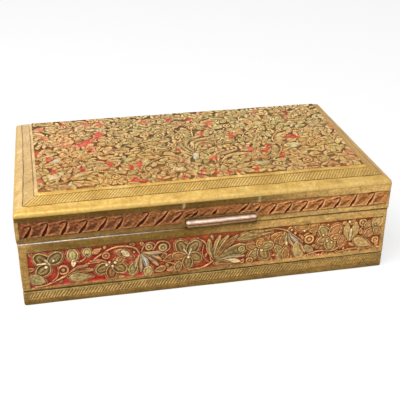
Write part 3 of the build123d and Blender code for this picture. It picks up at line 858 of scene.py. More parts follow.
    # tulip and the last flower
    blade(s, 79.2, 18.4, 77.0, 29.6, 3.8, "cream", bend=0.1)
    blade(s, 79.2, 18.4, 82.0, 29.4, 4.2, "cream", bend=-0.1)
    blade(s, 79.2, 18.6, 79.5, 26.0, 1.8, "white", "white")
    bead(s, 78.2, 30.8, 0.8)
    bud(s, 86, 29.6, 2.4, "tan", "brown")
    petal(s, 92.8, 26.4, 160, 6.4, 4.6, "grey")
    petal(s, 92.4, 25, 222, 6.0, 5.2, "pink")
    petal(s, 93.2, 26.2, 66, 7.0, 6.4, "cream")
    petal(s, 93.4, 25.2, 312, 4.8, 4.6, "grey")
    bead(s, 93.6, 27.6, 0.7, "brown")
    leaf(s, 81.6, 19.8, -28, 12.4, 5.6, "cream", bend=-0.04)
    bud(s, 94.4, 17.6, 2.2, "pink", "brown")
    stem(s, [(72, 11.8), (80, 13.4), (88, 12.8), (95, 13.6)], 0.4, 0.3, "tan")


def fill_gaps(s, low, high, first, last, seed, tones, tries, size, crowd):
    """Small leaves, buds and beads in what the main motifs leave free, tucked under their edges."""
    rng = np.random.default_rng(seed)
    for _ in range(tries):
        x, y = rng.uniform(first + 0.8, last - 0.8), rng.uniform(low + 0.8, high - 0.8)
        kind, turn = rng.uniform(), rng.uniform(0, 360)
        length = rng.uniform(*size)
        tone = tones[rng.integers(len(tones))]
        if s.crowded(x, y, 1.3, crowd):
            continue
        back = length * 0.5
        fx, fy = x - back * cos(radians(turn)), y - back * sin(radians(turn))
        if kind < 0.42:
            leaf(s, fx, fy, turn, length * 1.25, length * 0.55, tone, rise=0.55, under=True, teeth=4)
        elif kind < 0.75:
            petal(s, fx, fy, turn, length, length * 0.7, tone, rise=0.6, under=True, veins=6)
        elif kind < 0.87:
            bud(s, x, y, length * 0.38, tone, "brown", under=True)
        else:
            bead(s, x, y, 0.75, tone, under=True)


def base_field(s, side, half):
    """Paint and chase a base wall's sunk field: how far each point belongs to it, and its relief."""
    share = s.share
    if side == "front":
        first, last = -half + 4.2, half - 2.3
        low = 9.9 + 1.9 * share + wavy(s.across, 0.18, 11)
        high = 31.8 + 0.8 * share + wavy(s.across, 0.16, 12)
        s.colour_ground((-half, 8.5), (half, 34), "#A43C30", "#98582C")
        for x, y, radius, code, stretch, turn in FRONT_REDS:
            s.stain(x, y, radius, code, stretch, turn)
        front_flowers(s)
        fill_gaps(s, 10.5, 31.6, first, last, 5, ["clay", "rust", "brown", "clay"], 700, (2.6, 4.2), 0.2)
        fill_gaps(s, 10.5, 31.6, 30.0, last, 15, ["clay", "tan", "brown", "tan"], 500, (2.8, 4.6), 0.5)
    else:
        first, last = -half + FIELD_END, half - FIELD_END
        low = FIELD_LOW + wavy(s.across, 0.18, 11)
        high = FIELD_LOW + FIELD_TALL + wavy(s.across, 0.16, 12)
        s.colour_ground((-half, 8.5), (half, 34), "#A02C28", "#8C3A24")
        vine_field(s, last, {"back": 21, "left": 22, "right": 23}[side])
        fill_gaps(s, 10.8, 31.4, first, last, 6, ["clay", "rust", "tan", "clay"], 520, (2.6, 4.6), 0.25)
    # dirt and painted shade in the hollows, painted light and shade on the ridges' sides, ridges rubbed
    # bright with a painted highlight
    dirt_wear_and_painted_light(s, 5, dirt="#300C06", shine="#E2BC86", polish=0.45, painted_slope_shade=0.22)
    # the right part is rubbed lighter
    s.paint[..., :3] *= (1 + 0.14 * smooth((share - 0.6) / 0.15))[..., None]
    s.varnish("#FFF4E0", "#FFF6E0")
    inside = sunk(s, low, high, first, last, 0.45)
    # painted shadow under the field's upper edge and along its left one, a painted line of light along its
    # lower one
    s.glaze(0.75 * inside * bell(high - s.up - 0.2, 0.6), "#50260E")
    s.glaze(0.55 * inside * bell(s.across - first - 0.3, 0.6), "#5E2A1A")
    s.glaze(0.5 * inside * bell(s.up - low - 0.2, 0.4), "#B87850")
    out = inside * (-0.9 + s.height)
    s.paint[..., 3] *= inside
    s.height[...] = 0
    return inside, out


def base_bands(s, side, half, inside):
    """Tarnish, lines, hatching and rim of a base wall, round its field."""
    share = s.share
    # tarnish of the plain bands, deeper at the left; the wall is also darker towards the bottom edge
    ends = smooth((np.abs(s.across) - half + 7) / 5)
    right = smooth((share - 0.42) / 0.3)[..., None]
    plain = (1 - inside) * smooth((s.up - 9.4) / 0.8)
    s.coat(..., plain * (0.8 - 0.3 * ends), mixed("#664A16", "#BC9454", right))
    s.glaze(0.5 * plain * smooth(1 - share / 0.14), "#A58047")
    s.glaze(0.8 * (1 - smooth((s.up - 9.0) / 0.6)), "#8A6A32", "#8E6E36")
    s.glaze(0.7 * (1 - smooth((s.up - 1.6) / 2.4)), "#5E4418", "#6E5426")
    # the deep line under the field, which rises a little to the right, like the band
    groove = 8.6 + 0.5 * share + wavy(s.across, 0.12, 14)
    incised(s, groove, 0.55, depth=0.34, tint="#3A2808")
    # the hatched band, between two thin lines
    band_low = 3.35 + 0.5 * share + wavy(s.across, 0.12, 15)
    band_high = 7.35 + 0.9 * share + wavy(s.across, 0.1, 16)
    flat = np.abs(s.across) < half - 3.2
    band = smooth(np.minimum(s.up - band_low, band_high - s.up) / 0.3 + 0.5) * flat
    s.glaze(0.75 * band, "#BE9C5E", "#A88648")
    worn_hatch = 0.9 - 0.55 * smooth((share - 0.6) / 0.25)
    hatched(s, band_low, np.where(flat, band_high, band_low), slope=0.62, depth=0.26, tint="#4E340E",
            cover=worn_hatch, seed=3)
    for line in (band_low - 0.15, band_high + 0.15):
        incised(s, line, 0.16, depth=0.14, tint="#4E340E", cover=0.7)
    s.glaze(0.7 * bell(s.up - band_high - 0.45, 0.22), "#D8B878", "#CCAA6A")
    # the rim under the lid: a painted highlight at the left, a painted shadow of the seam at the right, and
    # the pull's painted shadow below it
    rim = smooth((s.up - 36.85) / 0.25)
    s.glaze(rim * smooth(1.3 - share * 2.6), "#E6D8CC")
    s.glaze(rim * 0.7 * smooth(share * 2.6 - 1.1), "#3E2A10")
    if side == "front":
        s.glaze(0.8 * by_pull(s, 0.5) * smooth((s.up - 35.9) / 0.6), "#4A300F")


def base_sheet(side):
    """One wall of the base, laid flat, and how far each point stands out."""
    run, _ = extent(BASE, side)
    step = 0.3 if side == "front" else 0.34
    # rows: close at the rounded foot, over the hatching and at the rim, the field's own step in the middle
    v = spaced(BASE["low"], (FOOT, 0.16), (3.0, 0.55), (9.6, 0.26), (33.2, step), (36.9, 0.62),
               (BASE["high"], 0.12))
    s = Sheet(columns(run, step), v, outline="#46200F", worn="#B98C56",
              worn_share=(0.0, 0.42) if side == "front" else (0.1, 0.2))
    inside, out = base_field(s, side, run / 2)
    base_bands(s, side, run / 2, inside)
    out += s.height + dented(s.across, s.up)
    return s, out


def by_pull(s, room):
    """The part of a front sheet that the pull's length takes in, and so much more at each end."""
    return smooth((PULL_LENGTH / 2 + room - np.abs(s.across - PULL_X)) / 1.5 + 0.5)


def dented(u, v):
    """The unevenness of a hand-beaten sheet."""
    return 0.05 * np.sin(u / 9.0 + 1.3 * np.sin(v / 7.0)) + 0.04 * np.sin(u / 4.1 + v / 3.3)


def vine_field(s, last, seed):
    """A running vine with a flower, a fan or a leafy spray in each of its bends, as on the solid plates."""
    rng = np.random.default_rng(seed)
    bends = max(2, round(2 * last / 24))
    middle = FIELD_LOW + FIELD_TALL / 2
    steps = bends * 4
    points = [(-last + 2 * last * k / steps, middle + 5.4 * sin(k * pi / 2)) for k in range(steps + 1)]
    stem(s, points, 0.7, 0.6, "clay")

    def seat(along, up):
        """A place by its shares of the field's half length and of its height."""
        return along * last, FIELD_LOW + up * FIELD_TALL

    for k in range(bends):
        place = (2 * k + 1) / bends - 1
        up = -1 if k % 2 else 1
        if k % 3 == 0:
            x, y = seat(place, 0.5 - 0.07 * up)
            for turn, tone in zip((18, 90, 162, 234, 306), ("olive", "grey", "olive", "green", "olive")):
                petal(s, x, y, turn, 8.2, 6.6, tone)
            for i in range(4):
                turn = radians(54 + 90 * i + rng.uniform(-12, 12))
                stamen(s, x, y, x + 3.4 * cos(turn), y + 3.4 * sin(turn), tip=0.8)
        elif k % 3 == 1:
            x, y = seat(place, 0.5 + 0.24 * up)
            for i, tone in enumerate(("teal", "blue", "blue", "teal", "olive")):
                turn = radians(up * (-144 + 27 * i))
                blade(s, x, y, x + 10.5 * cos(turn), y + 10.5 * sin(turn), 3.0, tone,
                      "white" if i % 2 else "cream")
        else:
            leaf(s, *seat(place - 0.5 / bends, 0.5 - 0.2 * up), 20 * up, 12, 5.2, "cream")
            petal(s, *seat(place, 0.5 - 0.05 * up), 55 * up, 8.2, 6.6, "green")
            petal(s, *seat(place, 0.5 - 0.05 * up), 120 * up, 8.2, 6.6, "pink")
        petal(s, *seat(place + 0.95 / bends, 0.5 + 0.44 * up), -90 * up, 8.2, 6.6, "grey")
        leaf(s, *seat(place + 0.7 / bends, 0.5 - 0.4 * up), 35 * up, 12, 5.2, "green")
        bud(s, *seat(place - 0.84 / bends, 0.5 - 0.3 * up), 2.3, "clay", "brown")


# Cuts between the leaves of the front's strip: foot and head of each
FRONT_SLITS = (
    ((-95.5, 40.5), (-92, 46.2)), ((-86.5, 41), (-83.6, 47)), ((-77, 41), (-74, 47)),
    ((-68, 41), (-64, 46.6)), ((-58.5, 41), (-54, 47.4)), ((-49.5, 41), (-46, 46.4)),
    ((-39, 41), (-32.6, 48)), ((-29.5, 41), (-22.6, 48.3)), ((-20, 42), (-15, 46.4)),
    ((-9.5, 44.2), (-7, 46.6)), ((1, 44.2), (3, 46.4)), ((15, 43.8), (20, 48)), ((24, 43.4), (26.4, 46.4)),
    ((32, 41.5), (35.2, 46)), ((40.5, 41), (43.6, 45.6)), ((49, 41), (52.4, 45.6)),
    ((58.5, 41), (61.6, 45.6)), ((68, 41), (71, 45.8)), ((77, 41), (80.4, 47.6)), ((87, 41), (90.4, 47)),
)


def leaf_strip(s, slits):
    """Slanting leaves like a rope: a dark cut between each two, a curl at its head, a ribbed hollow."""
    light = mixed("#946244", "#E0B486", smooth((s.share[..., None] - 0.35) / 0.5))

    def ridge(points, widths):
        """A light raised line along a leaf's edge."""
        where, inside, _, _ = stroke(s, points, widths, margin=0.6)
        part = smooth(inside / 0.3 + 0.5)
        s.height[where] = s.height[where] * (1 - part) + 0.78 * part
        s.coat(where, part * 0.8, light[where])

    for number, ((x0, y0), (x1, y1)) in enumerate(slits):
        tall = y1 - y0
        last = number + 1 == len(slits)
        following = ((x0 + STRIP_PITCH, y0), (x1 + STRIP_PITCH, y1)) if last else slits[number + 1]
        (nx0, ny0), (nx1, ny1) = following
        gap = nx0 - x0
        middle = (x0 + x1) / 2 + gap * 0.48
        waist = (y0 + y1) / 2
        where, inside, along, across = stroke(
            s, [(middle - 2.0, waist - 1.7), (middle, waist - 0.1), (middle + 2.4, waist + 1.3)],
            [1.0, min(1.9, tall * 0.32), 0.7])
        share = smooth(inside / 0.9)
        ribs = 0.5 + 0.5 * np.sin(across * 8 + along * 3)
        s.height[where] -= share * (0.3 + 0.16 * ribs)
        s.paint[where][..., :3] *= (1 - share * (0.14 + 0.34 * ribs))[..., None]
        # rim of the leaf along its top and its foot
        if tall > 3:
            ridge([(x1 + 0.7, y1 + 0.5), (middle + 1.2, max(y1, ny1) + 1.0), (nx1 - 3.2, ny1 + 1.5),
                   (nx1 - 1.2, ny1 + 1.9)], [0.22, 0.4, 0.25])
            ridge([(x0 + 1.5, y0 + 0.2), (middle - 1.6, y0 + 0.35), (nx0 - 1.2, ny0 + 0.4)],
                  [0.25, 0.36, 0.2])
    for (x0, y0), (x1, y1) in slits:
        tall = y1 - y0
        bulge = [(x0, y0), (x0 + (x1 - x0) * 0.56 + 0.1, (y0 + y1) / 2), (x1 + 0.3, y1 + 0.4)]
        for aside in (1.2, -1.1):
            lip = [(x + aside, y + 0.1) for x, y in bulge]
            lip[-1] = (x1 + aside * 0.55, y1 + 0.5)
            ridge(lip, [0.26, 0.46, 0.26])
        dull = x0 < 20  # the strip's lacquer is darker and more even up to here
        slit(s, bulge, [0.5, 0.9, 0.5, 0.15], "#4A1606" if dull else "#581C06")
        if tall > 3:
            curl = [(x1 - 3.6, y1 - 0.1), (x1 - 2.2, y1 + 0.8), (x1 - 0.2, y1 + 0.8)]
            slit(s, curl, [0.25, 0.45, 0.3], "#54280F" if dull else "#6A3A16", depth=0.25,
                 cover=0.5 if dull else 0.85)


def lid_sheet(side):
    """One upright side of the lid, laid flat, and how far each point stands out."""
    run, _ = extent(LID, side)
    step = 0.25 if side == "front" else 0.3
    # rows: close at the worn lower edge and under the border, the strip's own step in the middle
    v = spaced(LID["low"], (38.2, 0.12), (40.2, 0.4), (49.8, step), (51.9, 0.5), (LID["high"], 0.13))
    s = Sheet(columns(run, step), v)
    half = run / 2
    first, last = -half + 2.0, half - 1.8
    share = s.share
    tilt = 1.6 if side == "front" else 0.4
    high = 49.7 - tilt * share + wavy(s.across, 0.16, 31)
    low = 40.55 + 0.25 * wavy(s.across, 1.0, 32, 60)
    s.colour_ground((-half, 37.7), (half, 52.3), "#70402A", "#B07C4E", cover=0.94)
    s.paint[..., :3] *= 1 - 0.14 * smooth(1 - np.abs(share - 0.3) / 0.3)[..., None]
    s.height[...] = 0.62
    if side == "front":
        # the strip makes room for the pull
        low = low + by_pull(s, 1.4) * 2.9
        slits = FRONT_SLITS
    else:
        count = round((last - first) / STRIP_PITCH)
        starts = [first + k * (last - first) / count for k in range(count)]
        slits = [((start + 1.5, 41.0), (start + 5.0, 46.6)) for start in starts]
    # a beaten ground with a fine slanting grain
    s.height += 0.1 * np.sin(s.across * 2.1 + s.up * 0.8) * np.sin(s.up * 1.7)
    grain = np.sin(s.across * 2.6 - s.up * 1.9) + np.sin(s.across * 4.3 + s.up * 3.1)
    s.paint[..., :3] *= (1 + 0.07 * grain)[..., None]
    leaf_strip(s, slits)
    # dirt and painted shade in the hollows, ridges rubbed bright with a painted highlight
    dirt_wear_and_painted_light(s, 5, dirt="#3A1A08", shine="#D8A878", strength=0.8)
    s.varnish("#F4D6C0", "#FFECCC")
    inside = sunk(s, low, high, first, last, 0.4)
    out = inside * (-0.8 + s.height)
    s.paint[..., 3] *= inside
    edge_line = bell(np.minimum(s.up - low, high - s.up), 0.35)
    edge_line *= (s.across > first) & (s.across < last)
    out -= 0.18 * edge_line
    s.glaze(0.65 * edge_line, "#3A2008")
    # the plain band above the strip is dark with old lacquer and partly with a painted dark reflection,
    # less so to the right; so is the band below the strip
    upper = smooth((s.up - high) / 0.5)
    right = smooth((share - 0.5) / 0.45)[..., None]
    s.coat(..., upper * 0.9, mixed("#54390C", "#CCA460", right))
    lower = smooth((low - s.up) / 0.5)
    s.coat(..., lower * 0.75, mixed("#64461C", "#C8A260", smooth((share - 0.2) / 0.75)[..., None] ** 1.5))
    if side == "front":
        # painted shadow of the pull on the band under it
        s.glaze(0.85 * by_pull(s, 0.5) * smooth((39.2 - s.up) / 0.6), "#3E2509")
        # two pale marks that run down across the upper band
        for mark in (-14.5, 25.8):
            s.glaze(0.6 * upper * bell(s.across - mark - 0.12 * (s.up - 50), 0.7), "#CDB282")
    # painted shadow along the lid's lower edge, in the seam with the base
    s.glaze(smooth((38.15 - s.up) / 0.25) * (0.75 - 0.3 * share), "#3A2810", "#5A421C")
    s.height[...] = 0
    out += dented(s.across, s.up)
    return s, out


def border_profile(run):
    """The border's section: how far in and how high each row of its grid lies, up the lip and the slope.

    It is drawn for the mean run and stretched, so that the rows of all four sides meet at the mitres."""
    mean = (BORDER_FRONT_RUN + BORDER_SIDE_RUN) / 2
    slope = atan2(BORDER_RISE, mean)
    tangent = LIP_ROUND * tan((pi / 2 - slope) / 2)
    rows = [(0.0, 0.0), (0.0, 0.45 * (BORDER_LIP - tangent)), (0.0, BORDER_LIP - tangent)]
    for k in range(1, 7):
        turn = (pi / 2 - slope) * k / 7
        rows.append((LIP_ROUND * (1 - cos(turn)), BORDER_LIP - tangent + LIP_ROUND * sin(turn)))
    start = tangent * cos(slope) / mean
    for share in spaced(start, (0.36, 0.05), (0.86, 0.0225), (1.0, 0.045)):
        rows.append((share * mean, BORDER_LIP + share * BORDER_RISE))
    return np.array(rows) * (run / mean, 1.0)


def build_border():
    """The hipped border: four faces in one frame, each a lip and a slope with lines and hatching."""
    bm = bmesh.new()
    lacquer = bm.verts.layers.float_color.new("lacquer")
    rounds = np.array([-1.0, -0.66, -0.33])
    # the lacquer left on each slope, from left to right, and how much of it; the left slope is painted
    # lighter and the right one darker, as light falls from the left
    slope_lacquer_and_light = {"front": ("#D0AC5E", "#C4A662", 0.4), "back": ("#D8B060", "#D8B060", 0.3),
              "left": ("#E8CEA2", "#E2C48E", 0.55), "right": ("#BE965E", "#B08A58", 0.6)}
    for side in SIDES:
        long_side = side in ("front", "back")
        outer, depth = (size / 2 for size in extent(LID, side))
        runs = (BORDER_FRONT_RUN, BORDER_SIDE_RUN)
        run, side_run = runs if long_side else runs[::-1]
        rows = border_profile(run)
        other = border_profile(side_run)
        # columns: shares of the way from the middle to the ends, and the turn round half of each corner
        count = round(2 * outer / 0.38)
        c = np.linspace(-1, 1, count + 1)
        c = np.concatenate([-1 + 0 * rounds, c, 1 + 0 * rounds])
        turn = np.concatenate([rounds * pi / 4, np.zeros(count + 1), -rounds[::-1] * pi / 4])
        level = np.arange(len(rows))
        cc, row = np.meshgrid(c, level)
        turn = np.broadcast_to(turn, cc.shape)
        inset, climb, side_inset = rows[row, 0], rows[row, 1], other[row, 0]
        corner = CORNER * (1 - inset / run) + 0.5 * inset / run
        straight = (outer - side_inset - corner) * np.clip(cc, -1, 1)
        s = Sheet(c, level)
        s.across, s.up = straight + corner * np.sin(turn), inset
        low = (0.385 + 0.05 * (1 - cc ** 2)) * run + wavy(straight, 0.12, 41)
        high = (0.84 + 0.012 * (1 - cc ** 2)) * run + wavy(straight, 0.1, 42)
        left, right, share = slope_lacquer_and_light[side]
        s.glaze(share + 0 * cc, left, right)
        faint = 0.62 if long_side else 0.3
        band = smooth(np.minimum(s.up - low, high - s.up) / 0.4 + 0.5)
        s.glaze(0.35 * band, "#C8A888" if side == "left" else "#D2AC66", "#C4A060")
        # the lip is rubbed to another yellow, and is darkest along its foot
        s.glaze(0.8 * smooth((BORDER_LIP + 0.9 - climb) / 0.5), "#C6A45C", "#CEAE6A")
        s.glaze(0.75 * smooth(1 - climb / 0.9), "#8E6C2A", "#A07C38")
        hatched(s, low, high, slope=0.75, depth=0.2, tint="#5E4218", cover=faint, seed=43)
        incised(s, low, 0.22, depth=0.16, tint="#3A2408", cover=0.9)
        incised(s, high, 0.18, depth=0.14, tint="#4A300E", cover=0.85)
        fade = smooth((1 - np.abs(cc)) * outer / 2.0) * smooth(inset / 1.5)
        out = (s.height + dented(s.across, s.up)) * fade
        slant = np.hypot(BORDER_RISE, run)
        outward = depth - inset - corner + (corner + out * BORDER_RISE / slant) * np.cos(turn)
        along = straight + (corner + out * BORDER_RISE / slant) * np.sin(turn)
        (ux, uy), (nx, ny) = SIDES[side]
        x, y, lift = tapered(along * ux + outward * nx, along * uy + outward * ny, inset / run)
        z = LID["high"] + climb + out * run / slant + lift
        points = np.stack([x, y, z], -1).reshape(-1, 3) * MM
        grid = bmesh.ops.create_grid(bm, x_segments=len(c) - 1, y_segments=len(level) - 1, size=0.5)
        for vert, place, tint in zip(grid["verts"], points, s.paint.reshape(-1, 4)):
            vert.co = place
            vert[lacquer] = tint
    bmesh.ops.remove_doubles(bm, verts=bm.verts, dist=0.00002)
    for face in bm.faces:
        face.smooth = True
    return bm


# The border from below, outside to inside: shares of the outline's length and width, and the height of
# the sole's inner edge, the hollow's foot, its roof, the roof's inner edge and the panel's seat
BORDER_BELOW = (
    (0.976, 0.954, LID["high"]), (0.976, 0.954, 53.6), (0.914, 0.831, 56.3), (0.865, 0.738, 56.3),
    (0.865, 0.738, PANEL_LOW),
)


def close_border(bm):
    """Give the border its sole, its inner slope and the seat of the panel."""
    rim = [edge for edge in bm.edges if edge.is_boundary]
    for edge in rim:
        edge.smooth = False
    middle = (LID["high"] + 3) * MM  # tells the outer rim from the inner one
    outer = [e for e in rim if max(v.co.z for v in e.verts) < middle]
    inner = [e for e in rim if min(v.co.z for v in e.verts) > middle]
    edges = outer
    outline = {}
    for long_share, wide_share, height in BORDER_BELOW:
        made = bmesh.ops.extrude_edge_only(bm, edges=edges)["geom"]
        for vert in [g for g in made if isinstance(g, bmesh.types.BMVert)]:
            # the place on the outline that this corner of the mesh comes from
            x, y = outline.get(tuple(round(c, 7) for c in vert.co), (vert.co.x / MM, vert.co.y / MM))
            place = Vector((x * long_share, y * wide_share, height)) * MM
            vert.co = place
            outline[tuple(round(c, 7) for c in place)] = (x, y)
        edges = [g for g in made if isinstance(g, bmesh.types.BMEdge) and g.is_boundary]
        for edge in edges:
            edge.smooth = False
    down = bmesh.ops.extrude_edge_only(bm, edges=inner)["geom"]
    for vert in [g for g in down if isinstance(g, bmesh.types.BMVert)]:
        vert.co.z = PANEL_LOW * MM
    seat = [g for g in down if isinstance(g, bmesh.types.BMEdge) and g.is_boundary]
    bmesh.ops.bridge_loops(bm, edges=edges + seat)
    bmesh.ops.recalc_face_normals(bm, faces=bm.faces)
    finished(make_object("hipped_border", bm, BORDER_BRASS), "lid", "lid_border_frame")


def tapered(x, y, share=1.0):
    """Where the hand-made border and panel really lie: the panel's outline is a little out of square.

    share is how much of it there is: none at the border's foot, all on the panel. The third value is
    how much higher the place lies."""
    across, back = np.clip(x / PANEL_X, -1, 1), (np.clip(y / PANEL_Y, -1, 1) + 1) / 2
    # shifts of the left and the right edge in x, from front to back
    left, right = 1.95 - 2.7 * back, -0.25 + 2.3 * back
    moved_x = x + share * (left * (1 - across) + right * (1 + across)) / 2
    return moved_x, y + share * (0.45 + 0.1 * back), share * 0.5 * back ** 2


def seated(x, y):
    """A place read off the photograph, on the panel's straight sheet."""
    moved_x, moved_y, _ = tapered(x, y)
    return 2 * x - moved_x, 2 * y - moved_y


def placed(x, y):
    """A place of the first reading of the photograph, put right by its shares and shifts, on the sheet."""
    return seated(0.99 * x - 0.5, 1.015 * y - 1.3)


# Red lacquer that is left on the panel: place, size, colour, stretch and turn
PANEL_REDS = (
    (-61, 10, 3.6, "#D4484A", 1.5, 30), (-51, 21, 3.2, "#D24448", 1.8, 75),
    (-56.5, 15, 2.0, "#D25A54", 1.6, 40), (-57, 1, 1.8, "#CC4A46", 2.0, 120),
    (-88, 1, 1.7, "#C8483E", 3.2, 90), (-81, -8, 1.9, "#C8443C", 1.7, 90),
    (-78.6, -24, 1.8, "#C03A34", 1.9, 90), (-63.5, -24, 2.0, "#BE3E34", 1.7, 90),
    (-48.4, -20, 1.9, "#C03630", 2.8, 110), (-83, 22, 1.6, "#C86A5A", 3.0, 100),
    (-85, 37, 2.4, "#D07A68", 1.7, 90), (-86, -34, 1.8, "#C87060", 2.2, 80),
    (-70, 9, 1.8, "#CC6A5A", 2.6, 20), (-42, -41, 1.4, "#A85030", 1.5, 60),
    (-37, -26, 1.7, "#C44A3C", 2.0, 90), (-32, -23, 1.8, "#C84A3E", 2.4, 90),
    (-37, -42, 2.8, "#C03040", 1.2, 60), (-32.6, -44.6, 1.8, "#B83038", 2.2, 0),
    (-24, -44.6, 1.4, "#B43034", 2.0, 0), (-10.5, -43.6, 1.9, "#B42E28", 1.4, 90),
    (-2, -43.6, 1.8, "#B63858", 1.4, 90), (0.4, -38.5, 1.5, "#BE4838", 2.2, 60),
    (-22, 37, 2.6, "#CC7464", 1.8, 90), (-6.5, 37, 2.6, "#CC5A50", 1.8, 90),
    (6.5, 36, 2.4, "#CA5A50", 1.6, 90), (9, 12, 2.2, "#CE6E5A", 2.2, 60),
    (-8.5, -8, 1.5, "#B8503C", 2.6, 100), (8, -1, 1.5, "#B8604A", 2.4, 90),
    (9, -23, 2.8, "#C04432", 1.2, 0), (17, 27, 2.8, "#CA6A54", 1.8, 85), (26, 6, 1.9, "#CA5A48", 3.0, 80),
    (32.5, -15, 2.2, "#C45848", 1.8, 80), (44, -12, 2.3, "#AE2E1E", 1.2, 0),
    (41, -18, 2.0, "#B84232", 2.4, 60), (48, -27, 1.8, "#BE4438", 2.4, 75),
    (29, -41.6, 1.9, "#B83622", 1.8, 80), (19, -42.6, 1.5, "#BC4434", 1.6, 90),
    (14, -42.6, 1.6, "#B84030", 1.8, 90), (7, -41.6, 1.6, "#B8402E", 2.0, 75),
    (61, -2.4, 3.6, "#C24230", 1.5, 0), (89.6, 8, 1.5, "#CC6250", 3.0, 90),
    (69, 36, 2.2, "#944434", 1.6, 90), (67, 27, 1.7, "#BC7A64", 4.0, 90),
    (60, -43.6, 1.4, "#9C4C28", 4.0, 0), (72, -44.8, 1.3, "#A04A26", 4.0, 0),
    (87, -30, 2.0, "#BC7C64", 3.0, 90), (50, 40, 2.4, "#BE7A64", 2.0, 60),
    (-57, 39, 2.6, "#CA7666", 1.8, 90), (-49, 38, 2.4, "#C66A5C", 1.8, 90),
    (-71, 41, 2.0, "#C06A58", 1.5, 60),
)


# Pale lacquer on a few of the panel's flowers and leaves, in the same order
PANEL_PALES = (
    (-79, -31, 3.0, "#F2EAD8", 1.2, 0), (-75, -28, 1.6, "#E8E0C8", 1.6, 60),
    (-77, -11, 2.2, "#DCE6E0", 1.6, 30), (-50, 30, 2.0, "#CCD4D0", 2.0, 0),
    (0, -18, 2.0, "#D0DCD8", 2.0, 80), (-12.5, -33.5, 1.8, "#F2E6CE", 2.4, 10),
    (81.5, 14, 2.4, "#CCB0A2", 1.0, 0), (59, -14, 2.8, "#D6DCBC", 1.6, 20),
    (88, -12, 1.8, "#CCD6A0", 1.5, 60), (38, 30, 1.0, "#F0E8D0", 4.0, 50),
    (-28, -21, 1.8, "#DCD8AE", 2.0, 60), (-38, -16, 2.2, "#C8CCA0", 1.6, 70),
    (7, -21, 1.8, "#B8CC90", 1.6, 60), (34, -33, 2.0, "#D4DAD0", 1.6, 0),
    (-66, -31, 1.6, "#E0DCBC", 2.0, 20),
)


# Wide patches of wear: pinkish at the back left, olive in the middle, bare yellow brass at the front
# left, with the share of what each hides as a last value
PANEL_WEAR = (
    (-70, 26, 26, "#CC8C6C", 1.2, 20, 0.3), (-20, 34, 16, "#8E6A3C", 1.6, 0, 0.35),
    (-66, 0, 24, "#D89060", 1.2, 0, 0.24), (-14, 2, 22, "#8E6C2C", 1.6, 20, 0.34),
    (-53, -39, 8, "#CCA44C", 2.0, 0, 0.42), (-28, -10, 12, "#B08E48", 1.4, 0, 0.25),
    (70, 34, 14, "#B07C54", 1.6, 0, 0.25), (30, 34, 12, "#94703A", 1.8, 0, 0.2),
    (75, -20, 14, "#CCA058", 1.4, 60, 0.22),
)


def red_lacquer(s, cover, swell):
    """Red lacquer that is left on some places of the panel."""
    for x, y, radius, code, stretch, turn in PANEL_REDS:
        s.stain(*seated(x, y), radius * swell, code, stretch, turn, cover)


def tinted_spots(s):
    """Remains of thin green, olive, pink and pale lacquer, some millimetres long, all over the panel."""
    rng = np.random.default_rng(61)
    tints = ("#C4C898", "#8C8A4C", "#D69C80", "#A07A3A", "#E4DCB4", "#7C6A30", "#C8865C", "#B0B488")
    for number in range(420):
        x, y = rng.uniform(-87, 87), rng.uniform(-45, 45)
        s.stain(x, y, rng.uniform(0.8, 1.9), tints[number % len(tints)], rng.uniform(1, 2.4),
                rng.uniform(0, 180), rng.uniform(0.3, 0.55))


def plan_panel():
    """The top panel's sheet, painted and chased."""
    step = 0.415
    s = Sheet(spaced(-PANEL_X, (PANEL_X, step)), spaced(-PANEL_Y, (PANEL_Y, step)), outline="#523810",
              worn="#CA965A", worn_share=(0.35, 0.42), groove=1.15)
    # a ground over the whole sheet
    s.colour_ground((-89, -50), (89, 50), "#9C6E36", "#966A32", cover=0.95)
    red_lacquer(s, 1.0, 1.0)
    panel_motifs(s)
    red_lacquer(s, 0.8, 0.95)
    for x, y, radius, code, stretch, turn, cover in PANEL_WEAR:
        s.stain(*seated(x, y), radius, code, stretch, turn, cover)
    # dirt and painted shade in the hollows, painted light and shade on the ridges' sides, ridges rubbed
    # bright with a painted highlight
    dirt_wear_and_painted_light(s, 4, dirt="#40280A", shine="#F4D8AA", strength=1.5, polish=0.5, painted_slope_shade=0.34)
    # the far side of the sheet is the darker and crisper one, the near side is rubbed even
    far = smooth((s.up + 40) / 70)[..., None]
    middle = np.array(colour("#B48A58"))
    s.paint[..., :3] = 1.1 * (middle + (s.paint[..., :3] - middle) * (1.05 + 0.95 * far))
    s.paint[..., :3] = np.clip(s.paint[..., :3], colour("#543612"), colour("#FFF0D0"))
    tinted_spots(s)
    red_lacquer(s, 0.7, 1.05)
    for x, y, radius, code, stretch, turn in PANEL_PALES:
        s.stain(*seated(x, y), radius, code, stretch, turn, 0.6)
    s.varnish("#FFEFCC", "#FFF2CC")
    edge = np.minimum(PANEL_X - np.abs(s.across), PANEL_Y - np.abs(s.up))
    rim = 1 - smooth((edge - 0.5) / 0.5)
    s.height = s.height * (1 - rim) + 0.35 * rim
    out = -0.6 + s.height + dented(s.across, s.up)
    return s, out


